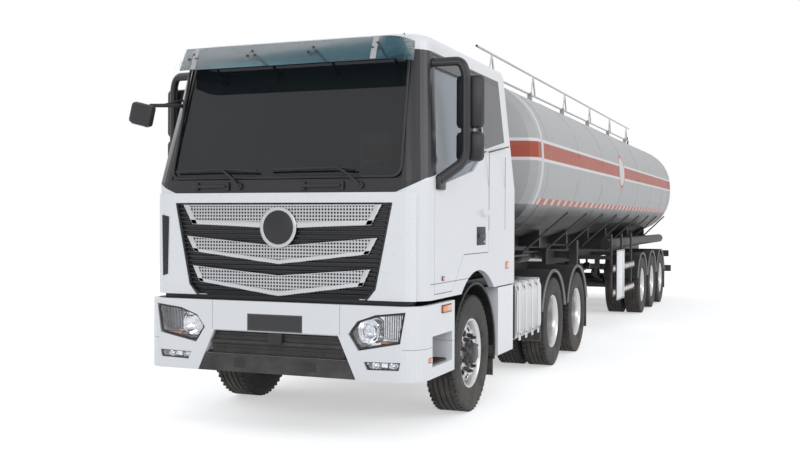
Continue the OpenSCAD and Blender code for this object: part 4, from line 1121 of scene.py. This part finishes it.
for side, word in SIDES:
    name = "front_wheel_detail_" + word
    replaced = ["front_rim_" + word, "front_tyre_" + word]
    wheel(steered_wheel, FRONT_AXLE, side, name, "front_wheel_" + word, replaced)
    for group, stations in (("drive", DRIVE_AXLES), ("trailer", TRAILER_AXLES)):
        for index, station in enumerate(stations, 1):
            node = f"{group}_wheels_{index}_{word}"
            wheel(twin_wheel, station, side, node + "_detail", node, [node])


# %% [markdown]
# # Chassis
# The tractor's side tank is bright metal with straps round it and ribs between them, and the box on
# the far side has a ribbed cover. Thin boxes laid on the frame's solids are enough for both.

# %% Fuel tank and battery box
bm = bmesh.new()
for k in range(4):
    s = 2.93 + k * 0.265
    box(bm, (1.2345, 1.242), (s, s + 0.075), (0.475, 1.075), 0.003)
    box(bm, (0.7, 1.235), (s, s + 0.075), (1.0795, 1.0845), 0.002)
    cap(bm, 1.242, 1.2475, 0.011, 0.009, (0, at(s + 0.0375), 0.54), "x", 6, 1)
for k in range(3):
    for j in range(4):
        s = 3.03 + k * 0.265 + j * 0.038
        box(bm, (1.2345, 1.2385), (s, s + 0.018), (0.55, 1.0), 0.0015)
filler = [(1.078, 0.0), (1.078, 0.062), (1.1, 0.064), (1.112, 0.055), (1.112, 0)]
turned(bm, filler, (1.05, at(3.35), 0), "z", 28, 1)
box(bm, (0.46, 1.22), (2.852, 2.86), (0.5, 1.05), 0.003, 1)
piece(bm, "fuel_tank_bands", "tractor", [tank_metal, black_plastic])

bm = bmesh.new()
box(bm, (-1.244, -1.2345), (2.9, 3.52), (0.56, 1.03), 0.006)
for z in (0.64, 0.74, 0.84, 0.94):
    box(bm, (-1.247, -1.243), (2.94, 3.48), (z, z + 0.03), 0.003)
for s in (3.62, 3.74, 3.86):
    cap(bm, -1.2105, -1.225, 0.05, 0.046, (0, at(s), 0.9), "x", 24, 1)
piece(bm, "battery_box_cover", "tractor", [black_plastic, tank_metal])

# %% [markdown]
# A guard over a twin wheel has a rolled, paler rim and fine ribs across its back. Rubber flaps hang
# at its ends.

# %% Rims of the wheel guards
GUARD_INSIDE = 0.64


def guard_rims(bm, stations, x, r):
    def spot(station, degrees, reach):
        turn = math.radians(degrees)
        return at(station) - reach * math.cos(turn), AXLE_Z + reach * math.sin(turn)

    for station in stations:
        for side in (-1, 1):
            arc = [(side * x, *spot(station, 15 + 150 * k / 24, r)) for k in range(25)]
            rod(bm, arc, 0.017, 10)
            for degrees in (35, 65, 95, 125, 150):
                low, high = (GUARD_INSIDE, x) if side > 0 else (-x, -GUARD_INSIDE)
                yz = spot(station, degrees, r + 0.001)
                rod(bm, [(low, *yz), (high, *yz)], 0.005, 6)


def flaps(bm, stations, low):
    for x in ((0.66, 1.22), (-1.22, -0.66)):
        box(bm, x, stations, (low, 0.8), 0.003, 1)


bm = bmesh.new()
guard_rims(bm, DRIVE_AXLES, 1.222, 0.6)
flaps(bm, (6.565, 6.575), 0.27)
flaps(bm, (3.935, 3.943), 0.36)
piece(bm, "drive_guard_rims", "tractor", [quarter_grey, rubber])

bm = bmesh.new()
guard_rims(bm, TRAILER_AXLES, 1.217, 0.59)
flaps(bm, (15.22, 15.23), 0.27)
piece(bm, "trailer_guard_rims", "trailer", [quarter_grey, rubber])

# %% [markdown]
# Between the cab and the tank lie a catwalk of narrow boards, the air tanks for the brakes under it,
# and a post with the couplings that the trailer's air lines would plug into.

# %% Tractor chassis: air tanks, catwalk and couplings
def drum(bm, s, half, x, z, steps):
    """A closed tank about a station; half lists (reach, radius) from its tip inwards."""
    outline = [(s - reach, r) for reach, r in half] + [(s + reach, r) for reach, r in reversed(half)]
    turned(bm, outline, (x, at(0), z), "y", steps)


bm = bmesh.new()
for s in (2.95, 3.32, 3.69):
    drum(bm, s, [(0.155, 0.0), (0.145, 0.06), (0.12, 0.082)], 0.32, 0.7, 28)
for k in range(9):
    box(bm, (-0.4, 0.4), (2.9 + k * 0.115, 2.98 + k * 0.115), (1.075, 1.085), 0.003, 1)
for x in (-0.16, 0.0, 0.16):
    cap(bm, 2.765, 2.8, 0.026, 0.026, (x, at(0), 1.32), "y", 18)
box(bm, (-0.26, 0.26), (2.752, 2.768), (1.22, 1.4), 0.006, 1)
for x in (-0.24, 0.24):
    rod(bm, [(x, at(2.76), 1.08), (x, at(2.76), 1.24)], 0.018, 10)
piece(bm, "chassis_fittings", "tractor", [chassis_paint, satin_metal])


# %% [markdown]
# # The trailer
# The tank is welded from hoops, so a fine seam runs round it every 1.75 m. The seam's points are
# taken from the tank's own mesh, where its edges cross the station, so it fits however the tank is
# shaped.

# %% Seams of the tank
TANK_RINGS = (4.35, 6.1, 7.85, 9.6, 11.35, 13.1, 14.85, 15.9)
TANK_MIDDLE, WALKWAY = 2.45, 3.39
tank_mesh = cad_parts["tank"].data


def tank_section(station):
    """Points of the tank's outside where it crosses a station, in order round the tank."""
    y = at(station)
    outer = {}
    for edge in tank_mesh.edges:
        a, b = (tank_mesh.vertices[i].co for i in edge.vertices)
        if (a.y - y) * (b.y - y) < 0:
            p = a.lerp(b, (y - a.y) / (b.y - a.y))
            key = round(math.atan2(p.z - TANK_MIDDLE, p.x) / (2 * math.pi) * 96) % 96
            reach = math.hypot(p.x, p.z - TANK_MIDDLE)
            if p.z < WALKWAY and (key not in outer or reach > outer[key][0]):
                outer[key] = (reach, p)
    return [outer[key][1] for key in sorted(outer)]


bm = bmesh.new()
for station in TANK_RINGS:
    ring = tank_section(station)
    if len(ring) > 8:
        rod(bm, ring + ring[:1], 0.0035, 6)
print("points round one seam:", len(ring))
piece(bm, "tank_seams", "trailer", [tank_paint])

# %% [markdown]
# A manhole lid is a dished plate, turned from one outline, with twelve bolts and a handle. Its place
# comes from the frame's own lid, which it stands for and swings with.

# %% Manhole lids
LID = [(0.001, 0.0), (0.001, 0.244), (0.012, 0.249), (0.028, 0.247), (0.034, 0.235), (0.036, 0.12),
       (0.044, 0.1), (0.06, 0.088), (0.064, 0.0)]
for index in (1, 2, 3):
    node = f"manhole_lid_{index}"
    low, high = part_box(node)
    cx, cy = (low.x + high.x) / 2, (low.y + high.y) / 2
    bm = bmesh.new()
    turned(bm, [(low.z + rise, r) for rise, r in LID], (cx, cy, 0), "z", 64)
    for x, y in around((cx, cy), 0.222, 12):
        cap(bm, low.z + 0.03, low.z + 0.046, 0.014, 0.012, (x, y, 0), "z", 6, 1)
    bow = [(-0.09, 0.03), (-0.09, 0.062), (0.09, 0.062), (0.09, 0.03)]
    handle = fillet([(cx + dx, cy - 0.15, low.z + dz) for dx, dz in bow], 0.02)
    rod(bm, handle, 0.008, 8, 1)
    piece(bm, node + "_detail", node, [satin_metal, dark_metal], replaces=[node])

# %% [markdown]
# The side guards carry red and white stripes, laid as thin tiles so that they stay sharp. On the
# left they stop at the placard, which stays blank in its bright frame.

# %% Side guards and placard
bm = bmesh.new()
for side in (-1, 1):
    x = sorted((side * 1.2145, side * 1.2175))
    for z in (0.545, 0.925):
        for k in range(22):
            s = 8.712 + k * 0.1
            if side < 0 or not 8.99 < 8.72 + k * 0.1 < 9.74:
                box(bm, x, (s, s + 0.086), (z, z + 0.06), 0.0008, k % 2)
    x = sorted((side * 1.154, side * 1.157))
    for s in (8.76, 10.78):
        for k in range(6, 10):
            z = k * 0.09 + 0.56
            box(bm, x, (s + 0.008, s + 0.052), (z, k * 0.09 + 0.64), 0.0008, k % 2)
piece(bm, "guard_stripes", "trailer", [red_lens, white_paint])

bm = bmesh.new()
box(bm, (1.2245, 1.2275), (9.015, 9.735), (0.46, 1.22), 0.002)
low_edge, high_edge = ((9.0, 9.75), (0.44, 0.452)), ((9.0, 9.75), (1.228, 1.24))
ends = ((9.0, 9.012), (0.44, 1.24)), ((9.738, 9.75), (0.44, 1.24))
for s, z in (low_edge, high_edge, *ends):
    box(bm, (1.2245, 1.231), s, z, 0.002, 1)
for s in (9.05, 9.7):
    for z in (0.49, 1.19):
        cap(bm, 1.2275, 1.232, 0.01, 0.008, (0, at(s), z), "x", 10, 1)
piece(bm, "placard_face", "trailer", [white_paint, satin_metal])

# %% [markdown]
# The handrail on the tank folds down. Dark clamps hold its two bars, and they ride on the handrail,
# so their places come from its box.

# %% Handrail clamps
RAIL_X = 0.44
low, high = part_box("handrail")
top = high.z - 0.014
bm = bmesh.new()
for k in range(7):
    y = low.y + (high.y - low.y) * (k + 0.5) / 7
    for z, r in ((low.z + 0.014, 0.0138), (top, 0.0135)):
        rod(bm, [(RAIL_X, y - 0.035, z), (RAIL_X, y + 0.035, z)], r)
cap(bm, low.y, low.y + 0.04, 0.0138, 0.0138, (RAIL_X, 0, top), "y", 14)
piece(bm, "handrail_clamps", "handrail", [black_plastic])

# %% [markdown]
# At the back are three lamps on each side over a row of striped tiles. Below the frame hang the air
# tanks and, at each axle, a pair of brake chambers.

# %% Rear lamps and air tanks of the trailer
bm = bmesh.new()
for side in (-1, 1):
    for k, colour in enumerate((0, 0, 1)):
        x = side * (0.8 + k * 0.115)
        box(bm, sorted((x, x + side * 0.105)), (16.582, 16.592), (0.915, 1.025), 0.004, colour)
        lens = [(at(16.592), 0), (at(16.592), 0.036), (at(16.597), 0.03), (at(16.598), 0)]
        turned(bm, lens, (x + side * 0.0525, 0, 0.97), "y", 20, colour)
for k in range(24):
    x = -1.19 + k * 0.0994
    box(bm, (x, x + 0.092), (16.5985, 16.5998), (0.605, 0.655), 0.0003, k % 2 * 2)
piece(bm, "rear_lamps", "trailer", [red_lens, orange_lens, white_paint])

bm = bmesh.new()
box(bm, (-0.27, 0.27), (16.565, 16.572), (0.715, 0.855), 0.002)
CHAMBER = [(-0.1, 0.0), (-0.09, 0.055), (-0.07, 0.075), (0.04, 0.08), (0.07, 0.05), (0.08, 0)]
for s in TRAILER_AXLES:
    for side in (-1, 1):
        turned(bm, [(s + step, r) for step, r in CHAMBER], (side * 0.34, at(0), 0.74), "y", 24)
for s in (8.35, 10.1):
    drum(bm, s, [(0.33, 0.0), (0.32, 0.1), (0.28, 0.135)], -0.2, 1.18, 32)
piece(bm, "trailer_air_parts", "trailer", [chassis_paint])


# %% [markdown]
# # The studio
# The vehicle stands on a pale floor under soft light. The floor and the world are white to the
# camera, so there is no edge between them, while the floor still takes the vehicle's shadow. Light
# Path tells what a ray is for, so the white adds no light to the vehicle's paint.

# %% Floor
def looked_at(tree):
    """1 for rays from the camera, and for those that metal and glass pass on."""
    ray = add_node(tree, "LightPath").outputs
    seen = reckon(tree, "MAXIMUM", ray["Is Camera Ray"], ray["Is Glossy Ray"])
    return reckon(tree, "MAXIMUM", seen, ray["Is Transmission Ray"])


def floor_material():
    material = bpy.data.materials.new("studio floor")
    material.use_nodes = True
    tree = material.node_tree
    tree.nodes.clear()
    out = tree.nodes.new("ShaderNodeOutputMaterial")
    shade = ramp(tree, cloud(tree, spot_of(tree), 0.6, 3.0), 0.0, 1.0, 0.8, 0.84)
    matt = add_node(tree, "BsdfDiffuse", {"Color": shade}).outputs[0]
    glow = add_node(tree, "Emission", {"Color": (1, 1, 1, 1), "Strength": 0.5}).outputs[0]
    none = add_node(tree, "Emission", {"Strength": 0.0}).outputs[0]
    extra = add_node(tree, "MixShader", {0: looked_at(tree), 1: none, 2: glow}).outputs[0]
    connect(tree, out, {"Surface": add_node(tree, "AddShader", {0: matt, 1: extra}).outputs[0]})
    return material


bm = bmesh.new()
bmesh.ops.create_grid(bm, x_segments=1, y_segments=1, size=150.0)
floor_mesh = bpy.data.meshes.new("floor")
bm.to_mesh(floor_mesh)
bm.free()
floor_mesh.materials.append(floor_material())
floor = bpy.data.objects.new("floor", floor_mesh)
floor.location.z = -0.001
bpy.context.scene.collection.objects.link(floor)
print("the floor is", floor.dimensions.x, "m wide")

# %% World
world = bpy.data.worlds.new("studio")
bpy.context.scene.world = world
world.use_nodes = True
tree = world.node_tree
tree.nodes.clear()
out = tree.nodes.new("ShaderNodeOutputWorld")
ambient = add_node(tree, "Background", {"Color": (0.93, 0.96, 1.0, 1), "Strength": 0.66}).outputs[0]
white = add_node(tree, "Background", {"Color": (1, 1, 1, 1), "Strength": 1.0}).outputs[0]
mix = add_node(tree, "MixShader", {0: looked_at(tree), 1: ambient, 2: white}).outputs[0]
connect(tree, out, {"Surface": mix})
print("world and floor are ready")


# %% [markdown]
# Three large lamps stand high round the vehicle. Large lamps give soft shadows and long, quiet
# highlights on paint, as the soft boxes of a studio do.

# %% Lamps
def lamp(name, place, look_at, size, power):
    light = bpy.data.lights.new(name, "AREA")
    light.shape = "RECTANGLE"
    light.size, light.size_y = size
    light.energy = power
    obj = bpy.data.objects.new(name, light)
    obj.location = place
    towards = Vector(look_at) - Vector(place)
    obj.rotation_euler = towards.to_track_quat("-Z", "Y").to_euler()
    bpy.context.scene.collection.objects.link(obj)


lamp("front lamp", (6, -26, 9), (0, -6, 1.8), (12, 8), 950)
lamp("side lamp", (22, -6, 12), (0, 0, 1.5), (20, 8), 1150)
lamp("far side lamp", (-20, 2, 12), (0, 0, 1.5), (20, 8), 1150)
print("lamps:", len(bpy.data.lights))

# %% [markdown]
# The camera stands low in front of the cab's left corner, so the cab is large and the tank runs away
# behind it.

# %% Camera
camera_data = bpy.data.cameras.new("camera")
camera_data.sensor_width = 36
camera_data.lens = 44.98
camera_data.clip_end = 500
camera = bpy.data.objects.new("camera", camera_data)
camera.location = (3.894, -15.379, 1.717)
camera.rotation_euler = (math.radians(89.69), math.radians(-0.24), math.radians(21.67))
bpy.context.scene.collection.objects.link(camera)
bpy.context.scene.camera = camera
bpy.context.scene.view_settings.view_transform = "Standard"
print("camera at", tuple(camera.location))
